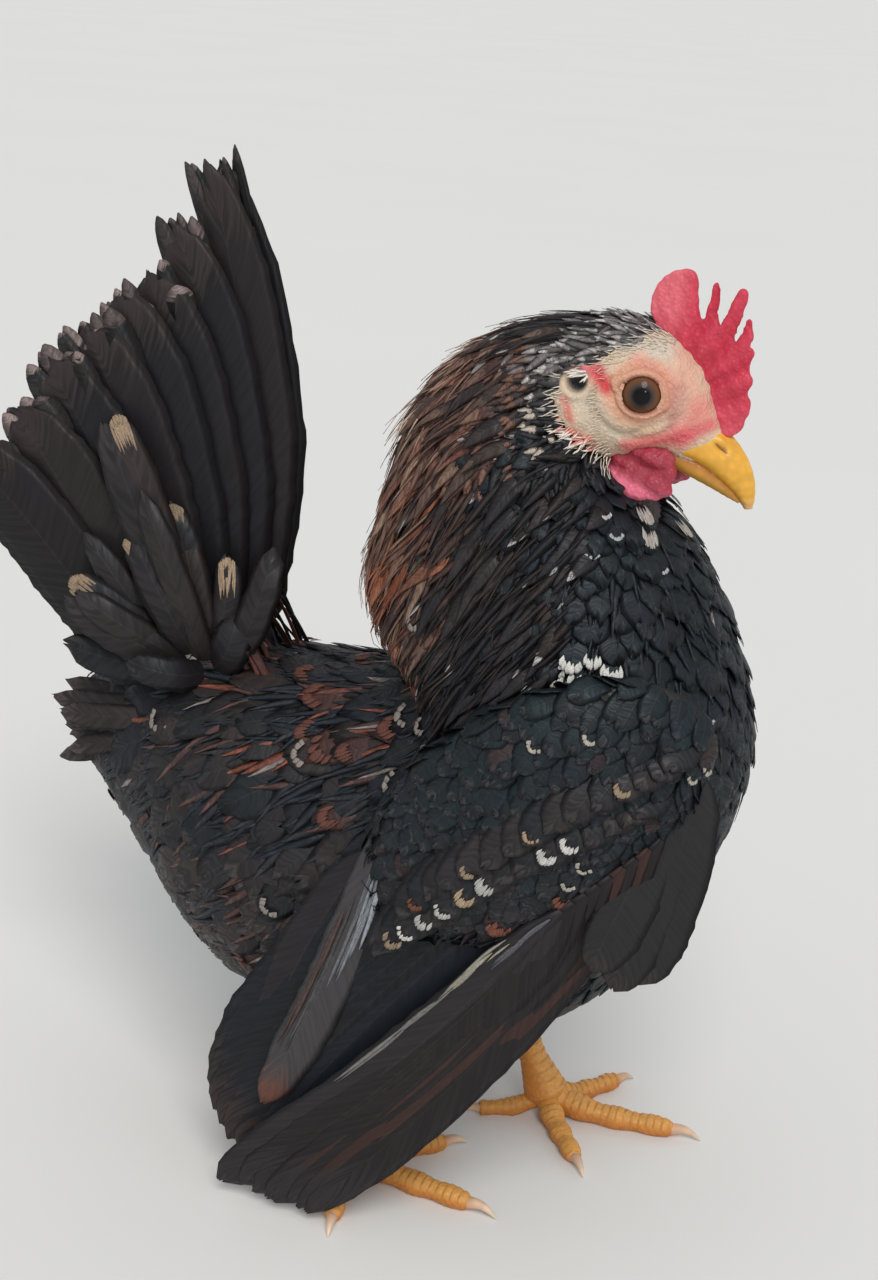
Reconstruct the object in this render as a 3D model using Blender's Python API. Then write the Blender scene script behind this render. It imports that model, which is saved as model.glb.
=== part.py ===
"""A serama chicken, life size, standing with its tail raised and its wings let down to the floor.

+X is forwards, +Y is the bird's left and +Z is up. The floor is z = 0, and the origin is below the middle of
the whole bird. Lengths are in millimetres and angles in degrees. A station of a rounded form is (x, z, tilt,
up, down, half width): its centre, the slope of the form there, and its reach from that centre.
"""

import math
import random

import bmesh
import bpy
from mathutils import Vector
from mathutils.bvhtree import BVHTree

MM = 0.001
GAP = 0.35  # clear space between neighbouring pieces
SEED = 7

# The trunk from the rump to the top of the neck, out to the tips of the small feathers.
TRUNK = (
    (-98, 88, 0, 6, 5, 6),
    (-90, 84, -3, 18, 13.5, 17),
    (-78, 80, -3, 25, 24, 26),
    (-54, 74, 0, 35, 37, 33.5),
    (-24, 72, 4, 40, 39, 36),
    (2, 79, 25, 41, 39, 36.5),
    (14, 95, 52, 42, 33.5, 35),
    (15, 113, 74, 44, 36, 33),
    (9, 131, 85, 39, 35, 28.5),
    (6, 149, 88, 33.5, 27, 23),
    (4, 163, 80, 27, 18, 17.5),
    (6, 174, 70, 18, 11, 12),
)
TRUNK_SIDES = 24
NECK_SIDES = 18
NECK_BASE_Z = 126.0  # where the neck is parted from the torso
HACKLE_DEPTH = 2.4  # how far the neck's core lies below the tips of its long feathers
JAW_POINT = (8.5, 167.2)  # the head is parted from the neck along a line through here
JAW_SLOPE = 57.0

# The head from the nape to the root of the bill.
SKULL = (
    (-9, 173, 12, 7, 9, 8.5),
    (-3, 173, 6, 11, 12.5, 11.6),
    (6, 173, 0, 14, 14, 13.2),
    (15, 173.2, -5, 16, 14, 13.0),
    (22.5, 173, -12, 14.5, 12, 11.4),
    (28.5, 170.8, -24, 10.8, 8.6, 8.6),
    (33, 167.2, -34, 6.6, 6.0, 6.0),
    (36, 165, -40, 4.2, 4.0, 4.2),
)
SKULL_SIDES = 20

# The bill, closed, with the mouth line between its two halves.
UPPER_BILL = (
    (29.5, 166.6, -30, 5.4, 2.6, 5.6),
    (34.6, 165.6, -36, 4.9, 2.9, 5.0),
    (38.6, 163.0, -48, 4.0, 3.0, 3.9),
    (41.2, 160.2, -60, 2.9, 2.5, 2.7),
    (42.7, 157.6, -74, 1.7, 1.6, 1.6),
    (43.4, 155.4, -84, 0.7, 0.6, 0.7),
)
LOWER_BILL = (
    (28.5, 163.4, -20, 2.0, 2.6, 5.0),
    (33.6, 161.6, -24, 2.0, 2.3, 4.2),
    (37.6, 159.7, -27, 1.6, 1.8, 2.9),
    (40.6, 157.9, -30, 1.0, 1.0, 1.5),
)
BILL_SIDES = 9
NOSTRIL = (37.9, 3.1, 166.9)
NOSTRIL_SIZE = (1.7, 1.1, 0.75)

EYE_CENTRE = (23.2, 8.3, 176.6)
EYE_RADIUS = 4.6
EYE_TURN = 14.0  # how far each eye looks forwards of straight out
LID_RADIUS = 4.05
LID_THICKNESS = 0.95
EAR_CENTRE = (11.8, 13.0, 177.4)
EAR_RADIUS = 1.9
EARLOBE_CENTRE = (12.6, 12.2, 170.8)
EARLOBE_SIZE = (3.1, 1.9, 4.3)

# The comb in side view, from the back of its blade over its points to the nostrils, then back along the head.
COMB_TOP = (
    (22.8, 187.6), (21.5, 190.2), (21.4, 193.0), (22.6, 195.8), (24.9, 197.6), (27.9, 198.4), (29.3, 197.2),
    (29.9, 193.2), (30.5, 189.9), (31.6, 190.3), (32.5, 196.2), (33.8, 196.0), (33.7, 191.0), (34.2, 188.0),
    (35.8, 190.4), (37.5, 195.4), (39.0, 194.6), (37.9, 189.6), (37.1, 185.2), (38.4, 186.8), (39.5, 190.6),
    (40.7, 189.8), (39.9, 185.4), (38.9, 182.0), (39.9, 182.6), (40.7, 185.4), (41.6, 184.4), (41.0, 181.2),
    (41.5, 178.6), (41.2, 176.6), (41.8, 174.8), (41.2, 172.0), (40.2, 169.6), (38.2, 168.6),
)
COMB_BASE = ((34.5, 167.0), (31.0, 172.0), (28.5, 176.5), (25.0, 181.0), (21.0, 184.0))
COMB_HALF_TOP = 0.75
COMB_HALF_BASE = 2.5
COMB_CROWN = 9.0  # over this height its thickness runs from that of the base to that of the top

# Each wattle is a folded lobe: (centre, radii) of the bulbs that make it up.
WATTLE_BULBS = (
    ((24.0, 6.2, 160.9), (6.8, 1.8, 5.0)),
    ((22.4, 7.4, 158.2), (4.3, 1.5, 2.9)),
    ((27.2, 6.9, 159.4), (3.6, 1.3, 3.4)),
)

# The tail. Each side has TAIL_TIPS, from the top feather to the lowest, as (x, distance from the middle, z).
TAIL_ROOT_TOP = (-61.0, 1.8, 112.0)
TAIL_ROOT_LOW = (-82.0, 9.0, 102.0)
TAIL_TIPS = (
    (-71, 2.6, 212.5), (-78, 5.2, 199), (-84, 7.8, 188), (-90.5, 10.2, 181),
    (-98.5, 12.6, 173), (-108.5, 15.0, 163), (-119, 17.2, 149),
)
TAIL_HALF_WIDTH = 10.6
TAIL_BOW = 7.0
STUMP = (  # the fleshy root of the tail, from the torso up: (x, z, half length, half width)
    (-70, 88, 20, 13), (-70, 100, 19.5, 13), (-70.5, 110, 16.5, 11.5), (-71.5, 118, 13, 8.5),
    (-72.5, 124, 8.5, 5), (-73, 127, 3.5, 2),
)
COVERT_ROOT = (-66.0, 8.0, 106.0)
COVERT_TIPS = (
    (-82.5, 15.5, 159), (-72, 11.5, 141), (-79.5, 16.5, 134), (-91, 19.5, 124), (-60, 9.5, 131), (-84, 20, 118),
)
COVERT_HALF_WIDTH = 4.8

# The right wing in side view, as (x, z). The left one is its mirror image.
SHIELD_CENTRE = (16.0, 101.0)  # the feathered shoulder and forearm
SHIELD_HALF = (38.0, 21.0)
SHIELD_SLOPE = 41.0
SHIELD_Y = 36.5
SHIELD_HALF_DEPTH = 6.4
SHIELD_BEND = 0.0062  # how it curves in round the breast
PRIMARY_COUNT = 7
PRIMARY_ROOTS = ((25.0, 84.0), (41.0, 100.0))
PRIMARY_TIPS = ((-44.0, 4.5), (-24.0, 2.6))
PRIMARY_BOW = 4.5
PRIMARY_HALF_WIDTH = (7.4, 5.2)
SECONDARY_COUNT = 7
SECONDARY_ROOTS = ((20.0, 88.0), (-13.0, 88.0))
SECONDARY_TIPS = ((-38, 9), (-42.5, 11), (-45.5, 15), (-47, 20), (-46.5, 25), (-44, 30), (-38.5, 25))
SECONDARY_HALF_WIDTH = 7.2
GREATER_COVERT_COUNT = 8
GREATER_COVERT_TIPS = ((37.0, 105.0), (14.0, 90.0), (-9.0, 70.0))
GREATER_COVERT_REACH = (10.0, 17.0)  # how far each root lies forwards of its tip, and above it
ALULA_TIPS = ((31.5, 73.0), (35.5, 69.5), (40.0, 70.5))
ALULA_ROOTS = ((40.0, 106.0), (43.0, 109.0), (45.5, 111.0))
WING_TIP_Y = 38.5
WING_SLIDE = {"right": 0.0, "left": -12.0}  # the left wing is held further back
VANE_THICKNESS = 0.6

# The legs. Each foot is (where its toes meet, toe tips by name), as places on the floor.
FEET = {
    "right": ((-23.5, -18.0), {
        "middle": (11.0, -21.5), "inner": (-3.5, 0.5), "outer": (-17.5, -41.5), "hind": (-41.0, -11.0),
    }),
    "left": ((8.5, 21.0), {
        "middle": (43.5, 25.0), "inner": (24.0, 1.0), "outer": (23.5, 42.0), "hind": (-8.0, 11.5),
    }),
}
HOCKS = {"right": (-33.0, -19.0, 37.0), "left": (-4.5, 19.0, 37.0)}
HIPS = {"right": (-24.0, -19.0, 66.0), "left": (-4.0, 19.0, 66.0)}
TOE_RADIUS = {"middle": 2.7, "inner": 2.5, "outer": 2.4, "hind": 2.1}  # each gives way to those before it
CLAW_LENGTH = {"inner": 5.5, "middle": 6.5, "outer": 5.0, "hind": 5.0}
SHANK_RADIUS = 3.1
KNUCKLE_Z = 6.2

HACKLE_ROWS = (  # (root height, tip height, feathers, reach round the neck each side, half width, stand-off)
    (138, 117, 13, 112, 4.6, 1.3),
    (149, 125, 12, 116, 4.4, 1.6),
    (160, 136, 10, 112, 4.1, 1.8),
    (171, 149, 7, 85, 3.8, 1.8),
)
HACKLE_RISE = 11.0  # how much higher each row runs at its ends, beside the throat, than at the nape
HACKLE_STRAY = 2.0  # how unevenly its feathers are set, in degrees round the neck and in their tips' heights
HACKLE_AXIS_X = 4.0
HACKLE_SWING = 14.0  # how far its feathers lean back towards the nape from root to tip, at the sides
HACKLE_ROOT_DEPTH = 2.2

# Outlines of feathers: (share of the length, share of the half width)
QUILL = ((0, 0.5), (0.35, 0.97), (0.8, 0.97), (0.95, 0.66), (1.0, 0.28))
LANCE = ((0, 0.6), (0.3, 1.0), (0.6, 0.85), (0.85, 0.42), (1.0, 0.1))
TONGUE = ((0, 0.6), (0.4, 1.0), (0.85, 0.85), (1.0, 0.35))

COLOURS = {  # (red, green, blue), roughness
    "plumage": ((0.035, 0.033, 0.036), 0.55),
    "hackle": ((0.13, 0.065, 0.045), 0.6),
    "face": ((0.72, 0.52, 0.40), 0.6),
    "comb": ((0.72, 0.07, 0.10), 0.45),
    "bill": ((0.78, 0.48, 0.09), 0.4),
    "eye": ((0.30, 0.12, 0.03), 0.15),
    "leg": ((0.80, 0.42, 0.12), 0.5),
    "claw": ((0.80, 0.70, 0.58), 0.4),
}


def clear_scene():
    for obj in list(bpy.data.objects):
        bpy.data.objects.remove(obj, do_unlink=True)


def finish_for(slot):
    """The material of this name, made the first time it is asked for."""
    material = bpy.data.materials.get(slot)
    if material is None:
        colour, roughness = COLOURS[slot]
        material = bpy.data.materials.new(slot)
        material.use_nodes = True
        shader = material.node_tree.nodes["Principled BSDF"]
        shader.inputs["Base Color"].default_value = (*colour, 1.0)
        shader.inputs["Roughness"].default_value = roughness
    return material


def make_object(name, points, faces, slot="plumage"):
    """A closed object from points in millimetres, with its faces turned outwards."""
    mesh = bpy.data.meshes.new(name)
    mesh.from_pydata([Vector(p) * MM for p in points], [], faces)
    work = bmesh.new()
    work.from_mesh(mesh)
    bmesh.ops.recalc_face_normals(work, faces=work.faces)
    work.to_mesh(mesh)
    work.free()
    obj = bpy.data.objects.new(name, mesh)
    bpy.context.scene.collection.objects.link(obj)
    mesh.materials.append(finish_for(slot))
    return obj


def blend(a, b, t):
    return tuple(p + (q - p) * t for p, q in zip(a, b))


def on_curve(rows, t):
    """The row at t from 0 to 1 along a smooth curve through all the rows."""
    last = len(rows) - 1
    place = min(max(t, 0.0), 1.0) * last
    i = min(int(place), last - 1)
    u = place - i
    before, start, end, after = rows[max(i - 1, 0)], rows[i], rows[i + 1], rows[min(i + 2, last)]
    return tuple(
        0.5 * (2 * s + (e - b) * u + (2 * b - 5 * s + 4 * e - a) * u * u + (3 * s - b - 3 * e + a) * u ** 3)
        for b, s, e, a in zip(before, start, end, after)
    )


def loft(name, stations, sides, slot, steps=1, grow=0.0):
    """A rounded closed form through stations. A positive grow makes it that much fatter and longer all over."""
    count = (len(stations) - 1) * steps + 1
    rows = [list(on_curve(stations, i / (count - 1))) for i in range(count)]
    for row, sense in ((rows[0], -1), (rows[-1], 1)):
        row[0] += sense * grow * math.cos(math.radians(row[2]))
        row[1] += sense * grow * math.sin(math.radians(row[2]))
    points = []
    for x, z, tilt, up, down, half in rows:
        lean = math.radians(tilt)
        for k in range(sides):
            turn = 2 * math.pi * k / sides
            reach = (up if math.sin(turn) > 0 else down) + grow
            rise = reach * math.sin(turn)
            side = (half + grow) * math.cos(turn)
            points.append((x - rise * math.sin(lean), side, z + rise * math.cos(lean)))
    return make_object(name, *capped_rings(points, sides), slot)


def capped_rings(points, sides):
    """Faces over equal rings of points, with a middle point added to close each end."""
    rings = len(points) // sides
    faces = []
    for i in range(rings - 1):
        for k in range(sides):
            a, b = i * sides + k, i * sides + (k + 1) % sides
            faces += [(a, b, b + sides), (a, b + sides, a + sides)]
    points = [Vector(p) for p in points]
    for first, sense in ((0, 1), ((rings - 1) * sides, -1)):
        middle = sum(points[first:first + sides], Vector()) / sides
        points.append(middle)
        hub = len(points) - 1
        faces += [(hub, first + (k + 1) % sides, first + k)[::sense] for k in range(sides)]
    return points, faces


def egg(name, centre, radii, slot, sides=12, rings=7, turn=0.0):
    """An ellipsoid with sides points round and rings bands, turned about the vertical."""
    points = [(0, 0, -1)]
    for i in range(1, rings):
        fall = math.pi * i / rings
        for k in range(sides):
            swing = 2 * math.pi * k / sides
            points.append((math.sin(fall) * math.cos(swing), math.sin(fall) * math.sin(swing), -math.cos(fall)))
    points.append((0, 0, 1))
    top = len(points) - 1
    faces = []
    for k in range(sides):
        after = (k + 1) % sides
        faces.append((0, 1 + after, 1 + k))
        faces.append((top, top - sides + k, top - sides + after))
        for i in range(rings - 2):
            a, b = 1 + i * sides + k, 1 + i * sides + after
            faces += [(a, b, b + sides), (a, b + sides, a + sides)]
    swing = math.radians(turn)
    placed = []
    for p in points:
        x, y, z = (p[i] * radii[i] for i in range(3))
        placed.append((
            centre[0] + x * math.cos(swing) - y * math.sin(swing),
            centre[1] + x * math.sin(swing) + y * math.cos(swing),
            centre[2] + z,
        ))
    return make_object(name, placed, faces, slot)


def vane(centres, sideways, outward, half_widths, thickness=VANE_THICKNESS):
    """One feather: a thin closed blade along its middle line. Both of its faces are split into triangles alike,
    so that they stay the same distance apart however it bends."""
    points = []
    for centre, side, face, half in zip(centres, sideways, outward, half_widths):
        reach, lift = side.normalized() * half, face.normalized() * thickness / 2
        points += [centre - reach + lift, centre + reach + lift, centre + reach - lift, centre - reach - lift]
    faces = [(0, 1, 2), (0, 2, 3)]
    for i in range(len(centres) - 1):
        a, b = 4 * i, 4 * (i + 1)
        faces += [(a, a + 1, b + 1), (a, b + 1, b), (a + 3, a + 2, b + 2), (a + 3, b + 2, b + 3)]
        faces += [(a + 1, a + 2, b + 2), (a + 1, b + 2, b + 1), (a + 3, a, b), (a + 3, b, b + 3)]
    end = 4 * (len(centres) - 1)
    faces += [(end, end + 1, end + 2), (end, end + 2, end + 3)]
    return make_object("vane", points, faces)


def flight_feather(root, tip, bow, faces, half, twist, shape=QUILL):
    """A feather from root to tip that stands off the straight line by the vector bow in its middle. Its face
    looks along the vector faces, rolled by twist degrees (at the root, at the tip) about its shaft."""
    root, tip, bow = Vector(root), Vector(tip), Vector(bow)
    centres = [root.lerp(tip, t) + bow * 4 * t * (1 - t) for t, _ in shape]
    last = len(centres) - 1
    sideways, outward = [], []
    for i in range(last + 1):
        along = (centres[min(i + 1, last)] - centres[max(i - 1, 0)]).normalized()
        side = along.cross(Vector(faces)).normalized()
        face = side.cross(along).normalized()
        roll = math.radians(twist[0] + (twist[1] - twist[0]) * shape[i][0])
        sideways.append(side * math.cos(roll) + face * math.sin(roll))
        outward.append(face * math.cos(roll) - side * math.sin(roll))
    return vane(centres, sideways, outward, [half * share for _, share in shape])


def apply_boolean(obj, operation, other, solver="EXACT"):
    """Applies one Boolean to obj. The other is an object or a collection, and it is removed afterwards."""
    modifier = obj.modifiers.new(operation.lower(), "BOOLEAN")
    modifier.operation = operation
    modifier.solver = solver
    if isinstance(other, bpy.types.Collection):
        modifier.operand_type = "COLLECTION"
        modifier.collection = other
    else:
        modifier.object = other
    graph = bpy.context.evaluated_depsgraph_get()
    result = bpy.data.meshes.new_from_object(obj.evaluated_get(graph))
    obj.modifiers.remove(modifier)
    result.name = obj.data.name
    obj.data = result
    gone = list(other.objects) if isinstance(other, bpy.types.Collection) else [other]
    for piece in gone:
        bpy.data.objects.remove(piece, do_unlink=True)
    if isinstance(other, bpy.types.Collection):
        bpy.data.collections.remove(other)


def join(obj, pieces, solver="MANIFOLD"):
    """Unites obj with closed pieces in one Boolean."""
    collection = bpy.data.collections.new("pieces")
    bpy.context.scene.collection.children.link(collection)
    for piece in pieces:
        bpy.context.scene.collection.objects.unlink(piece)
        collection.objects.link(piece)
    apply_boolean(obj, "UNION", collection, solver)


def cut(obj, *cutters):
    for cutter in cutters:
        apply_boolean(obj, "DIFFERENCE", cutter, "MANIFOLD")


def keep_side(obj, point, normal):
    """Cuts obj with a plane, in millimetres, keeps what lies on the side of its normal and closes the cut."""
    work = bmesh.new()
    work.from_mesh(obj.data)
    everything = work.verts[:] + work.edges[:] + work.faces[:]
    cut_out = bmesh.ops.bisect_plane(
        work, geom=everything, clear_inner=True,
        plane_co=Vector(point) * MM, plane_no=Vector(normal).normalized(),
    )
    edges = [e for e in cut_out["geom_cut"] if isinstance(e, bmesh.types.BMEdge)]
    filled = bmesh.ops.holes_fill(work, edges=edges)
    bmesh.ops.triangulate(work, faces=filled["faces"])
    bmesh.ops.recalc_face_normals(work, faces=work.faces)
    work.to_mesh(obj.data)
    work.free()


def keep_largest(obj):
    """Drops every loose scrap and sealed hollow, so that obj is its one largest closed surface."""
    work = bmesh.new()
    work.from_mesh(obj.data)
    bmesh.ops.triangulate(work, faces=work.faces)
    left = set(work.faces)
    islands = []
    while left:
        island, edge_of_it = set(), [left.pop()]
        while edge_of_it:
            face = edge_of_it.pop()
            island.add(face)
            near = {f for e in face.edges for f in e.link_faces} & left
            left -= near
            edge_of_it += near
        islands.append(island)
    islands.sort(key=lambda island: sum(f.calc_area() for f in island))
    scraps = [f for island in islands[:-1] for f in island]
    bmesh.ops.delete(work, geom=scraps, context="FACES")
    work.to_mesh(obj.data)
    work.free()


def finish_node(obj, name):
    obj.name = name
    obj.data.name = name
    obj.data.materials.clear()
    obj.data.materials.append(finish_for(SLOT_OF[name.split("_")[0]]))
    keep_largest(obj)
    obj.data.shade_smooth()
    obj.data.set_sharp_from_angle(angle=math.radians(40))
    return obj


SLOT_OF = {
    "torso": "plumage", "neck": "hackle", "head": "face", "bill": "bill", "comb": "comb", "wattle": "comb",
    "eye": "eye", "wing": "plumage", "tail": "plumage", "thigh": "plumage", "shank": "leg", "toe": "leg",
    "claw": "claw",
}


def side_sign(side):
    return -1 if side == "right" else 1


def mirrored(place, side):
    """A place given for the bird's left side, on the side asked for."""
    return (place[0], place[1] * side_sign(side), place[2])


def trunk(name, grow=0.0):
    return loft(name, TRUNK, TRUNK_SIDES, "plumage", grow=grow)


def skull(name, grow=0.0):
    return loft(name, SKULL, SKULL_SIDES, "face", grow=grow)


def bill_form(name, stations, grow=0.0):
    return loft(name, stations, BILL_SIDES, "bill", steps=2, grow=grow)


def jaw_plane():
    """A point and the upward normal of the cut between the head and the neck."""
    lean = math.radians(JAW_SLOPE)
    return (JAW_POINT[0], 0, JAW_POINT[1]), (math.cos(lean), 0, math.sin(lean))


def build_torso():
    torso = trunk("torso")
    keep_side(torso, (0, 0, NECK_BASE_Z - GAP / 2), (0, 0, -1))
    return finish_node(torso, "torso")


def build_head():
    point, normal = jaw_plane()
    head = skull("head")
    keep_side(head, Vector(point) + Vector(normal) * GAP / 2, normal)
    pieces, holes = [], []
    for side in ("right", "left"):
        pieces.append(lid_ring(side))
        pieces.append(egg("lobe", mirrored(EARLOBE_CENTRE, side), EARLOBE_SIZE, "face", 8, 6))
        ear_rim = (EAR_RADIUS + 1.0, 1.3, EAR_RADIUS + 1.0)
        pieces.append(egg("rim", mirrored(EAR_CENTRE, side), ear_rim, "face", 10, 5))
        holes.append(egg("socket", mirrored(EYE_CENTRE, side), [EYE_RADIUS + GAP] * 3, "face", 14, 9))
        cup = mirrored((EAR_CENTRE[0], EAR_CENTRE[1] + 1.2, EAR_CENTRE[2]), side)
        holes.append(egg("cup", cup, (EAR_RADIUS, 2.4, EAR_RADIUS), "face", 8, 5))
    join(head, pieces)
    cut(head, *holes)
    return finish_node(head, "head")


def lid_ring(side, around=14, section=5):
    """The bare lids: a soft ring round the eye, pinched a little at its front and back corners."""
    turn = math.radians(EYE_TURN)
    out = Vector((math.sin(turn), side_sign(side) * math.cos(turn), 0))
    ahead = Vector((math.cos(turn), -side_sign(side) * math.sin(turn), 0))
    plane = Vector(mirrored(EYE_CENTRE, side)) + out * 2.7
    points = []
    for k in range(around):
        angle = 2 * math.pi * k / around
        spoke = ahead * math.cos(angle) * 1.08 + Vector((0, 0, 1)) * math.sin(angle)
        middle = plane + spoke * LID_RADIUS - out * 0.25 * math.cos(2 * angle)
        for j in range(section):
            roll = 2 * math.pi * j / section
            points.append(middle + (spoke * math.cos(roll) * 1.15 + out * math.sin(roll)) * LID_THICKNESS)
    faces = []
    for k in range(around):
        for j in range(section):
            a, b = k * section + j, k * section + (j + 1) % section
            c, d = ((k + 1) % around) * section + (j + 1) % section, ((k + 1) % around) * section + j
            faces += [(a, b, c), (a, c, d)]
    return make_object("lids", points, faces, "face")


def build_bill():
    upper = bill_form("upper", UPPER_BILL)
    lower = bill_form("lower", LOWER_BILL)
    cut(lower, bill_form("cutter", UPPER_BILL, GAP), skull("cutter", GAP))
    nostrils = [egg("hole", mirrored(NOSTRIL, side), NOSTRIL_SIZE, "bill", 8, 5) for side in ("right", "left")]
    cut(upper, skull("cutter", GAP), *nostrils)
    return finish_node(upper, "bill_upper"), finish_node(lower, "bill_lower")


def slab(name, outline, sides_of, slot):
    """A closed sheet with this outline in side view. At (x, z) it lies between the two y of sides_of."""
    count = len(outline)
    points = [(x, sides_of(x, z)[0], z) for x, z in outline] + [(x, sides_of(x, z)[1], z) for x, z in outline]
    flat = bmesh.new()
    sheet = flat.faces.new([flat.verts.new(Vector((x, 0, z)) * MM) for x, z in outline])
    bmesh.ops.triangulate(flat, faces=[sheet], ngon_method="BEAUTY")
    flat.verts.index_update()
    split = [tuple(v.index for v in face.verts) for face in flat.faces]
    flat.free()
    faces = [tuple(i + count for i in f) for f in split] + [f[::-1] for f in split]
    for k in range(count):
        after = (k + 1) % count
        faces += [(k, after, after + count), (k, after + count, k + count)]
    return make_object(name, points, faces, slot)


def comb_sides(x, z):
    height = min(math.hypot(x - base_x, z - base_z) for base_x, base_z in COMB_BASE)
    half = COMB_HALF_TOP + (COMB_HALF_BASE - COMB_HALF_TOP) * max(0.0, 1 - height / COMB_CROWN)
    return -half, half


def build_comb():
    """A single upright comb: a thick blade along the brow that thins towards its points."""
    comb = slab("comb", COMB_TOP + COMB_BASE, comb_sides, "comb")
    cut(comb, skull("cutter", GAP), bill_form("cutter", UPPER_BILL, GAP))
    return finish_node(comb, "comb")


def build_wattle(side):
    bulbs = [egg("bulb", mirrored(c, side), r, "comb", 9, 6) for c, r in WATTLE_BULBS]
    wattle = bulbs[0]
    join(wattle, bulbs[1:])
    cut(
        wattle,
        skull("cutter", GAP),
        bill_form("cutter", LOWER_BILL, GAP),
        trunk("cutter", grow=GAP),
    )
    return finish_node(wattle, f"wattle_{side}")


def build_eye(side):
    eye = egg("eye", mirrored(EYE_CENTRE, side), [EYE_RADIUS] * 3, "eye", 14, 9)
    return finish_node(eye, f"eye_{side}")


def taken_in(stations, depth):
    """The same form, thinner by depth behind and at the sides, and by half of it in front."""
    return tuple(
        (x, z, tilt, up - depth, down - depth / 2, half - depth) for x, z, tilt, up, down, half in stations
    )


def build_neck():
    """The neck's core, and the long pointed feathers that hang from it over the shoulders like a cape."""
    point, normal = jaw_plane()
    down = [-n for n in normal]
    neck = loft("neck", taken_in(TRUNK, HACKLE_DEPTH), NECK_SIDES, "hackle")
    keep_side(neck, (0, 0, NECK_BASE_Z + GAP / 2), (0, 0, 1))
    keep_side(neck, point, down)
    coat = surface_of(trunk("coat"))
    core = surface_of(copy_of(neck))
    chance = random.Random(SEED)
    vanes = []
    for row, (root_z, tip_z, count, span, half, stand) in enumerate(HACKLE_ROWS):
        for k in range(count):
            share = 2 * (k + 0.25 + 0.5 * (row % 2)) / count - 1
            around = 180 + share * span + chance.uniform(-HACKLE_STRAY, HACKLE_STRAY)
            rise = HACKLE_RISE * share ** 2
            stray = chance.uniform(-HACKLE_STRAY, HACKLE_STRAY)
            vanes.append(hackle(coat, core, around, root_z + rise, tip_z + rise + stray, half, stand))
    join(neck, vanes)
    shoulders = trunk("cutter", GAP)
    keep_side(shoulders, (0, 0, NECK_BASE_Z), (0, 0, -1))
    cut(neck, shoulders, shield("right", GAP), shield("left", GAP))
    keep_side(neck, Vector(point) - Vector(normal) * GAP / 2, down)
    return finish_node(neck, "neck")


def copy_of(obj):
    twin = obj.copy()
    twin.data = obj.data.copy()
    bpy.context.scene.collection.objects.link(twin)
    return twin


def surface_of(obj):
    """A tree to find places on the surface of obj, in millimetres. It removes obj."""
    points = [v.co / MM for v in obj.data.vertices]
    faces = [tuple(p.vertices) for p in obj.data.polygons]
    bpy.data.objects.remove(obj, do_unlink=True)
    return BVHTree.FromPolygons(points, faces)


def outermost(tree, around, height):
    """Where a level line from outside towards the neck's axis first meets the surface, and the way it faces."""
    turn = math.radians(around)
    out = Vector((math.cos(turn), math.sin(turn), 0))
    start = Vector((HACKLE_AXIS_X, 0, height)) + out * 120
    place, normal, _, _ = tree.ray_cast(start, -out)
    return (place, normal) if place else (None, None)


def hackle(coat, core, around, root_z, tip_z, half, stand):
    """One long pointed feather: rooted in the core, it follows the coat down and lifts off it at the tip."""
    root, facing = outermost(core, around, root_z)
    while root is None:  # the core ends lower towards the throat
        root_z -= 2.0
        root, facing = outermost(core, around, root_z)
    swing = HACKLE_SWING * math.sin(math.radians(around))
    centres, outward = [root - facing * HACKLE_ROOT_DEPTH], [facing]
    for t, _ in LANCE[1:]:
        place, facing = outermost(coat, around + swing * t, root_z + (tip_z - root_z) * t)
        centres.append(place + facing * (stand * t - 0.2))
        outward.append(facing)
    last = len(centres) - 1
    sideways = [(centres[min(i + 1, last)] - centres[max(i - 1, 0)]).cross(f) for i, f in enumerate(outward)]
    return vane(centres, sideways, outward, [half * share for _, share in LANCE], thickness=0.7)


def tail_stump():
    sides = 16
    points = []
    for x, z, length, half in STUMP:
        for k in range(sides):
            turn = 2 * math.pi * k / sides
            points.append((x + length * math.cos(turn), half * math.sin(turn), z))
    return make_object("tail", *capped_rings(points, sides))


def build_tail():
    """The raised tail: a fleshy stump, seven broad feathers on each side in a steep tent, and their coverts."""
    tail = tail_stump()
    vanes = []
    for side in ("right", "left"):
        sign = side_sign(side)
        for k, tip in enumerate(TAIL_TIPS):
            share = k / (len(TAIL_TIPS) - 1)
            root = blend(TAIL_ROOT_TOP, TAIL_ROOT_LOW, share)
            bow = (TAIL_BOW * (1 - 0.5 * share), sign * 2.0 * share, 2.0 * share)
            vanes.append(flight_feather(
                mirrored(root, side), mirrored(tip, side), bow, (0.25, sign, 0.1), TAIL_HALF_WIDTH,
                (sign * -10, sign * -16),
            ))
        for tip in COVERT_TIPS:
            root = (COVERT_ROOT[0] * 0.9 + tip[0] * 0.1, *COVERT_ROOT[1:])
            vanes.append(flight_feather(
                mirrored(root, side), mirrored(tip, side), (3, sign * 2.5, 0), (0.2, sign, 0.3),
                COVERT_HALF_WIDTH, (0, 0), TONGUE,
            ))
    join(tail, vanes)
    cut(tail, trunk("cutter", GAP))
    return finish_node(tail, "tail")


def wing_y(x):
    """How far from the middle the wing's feathers hang at this distance forwards."""
    return SHIELD_Y - SHIELD_BEND * max(0.0, x - 4) ** 2


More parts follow.
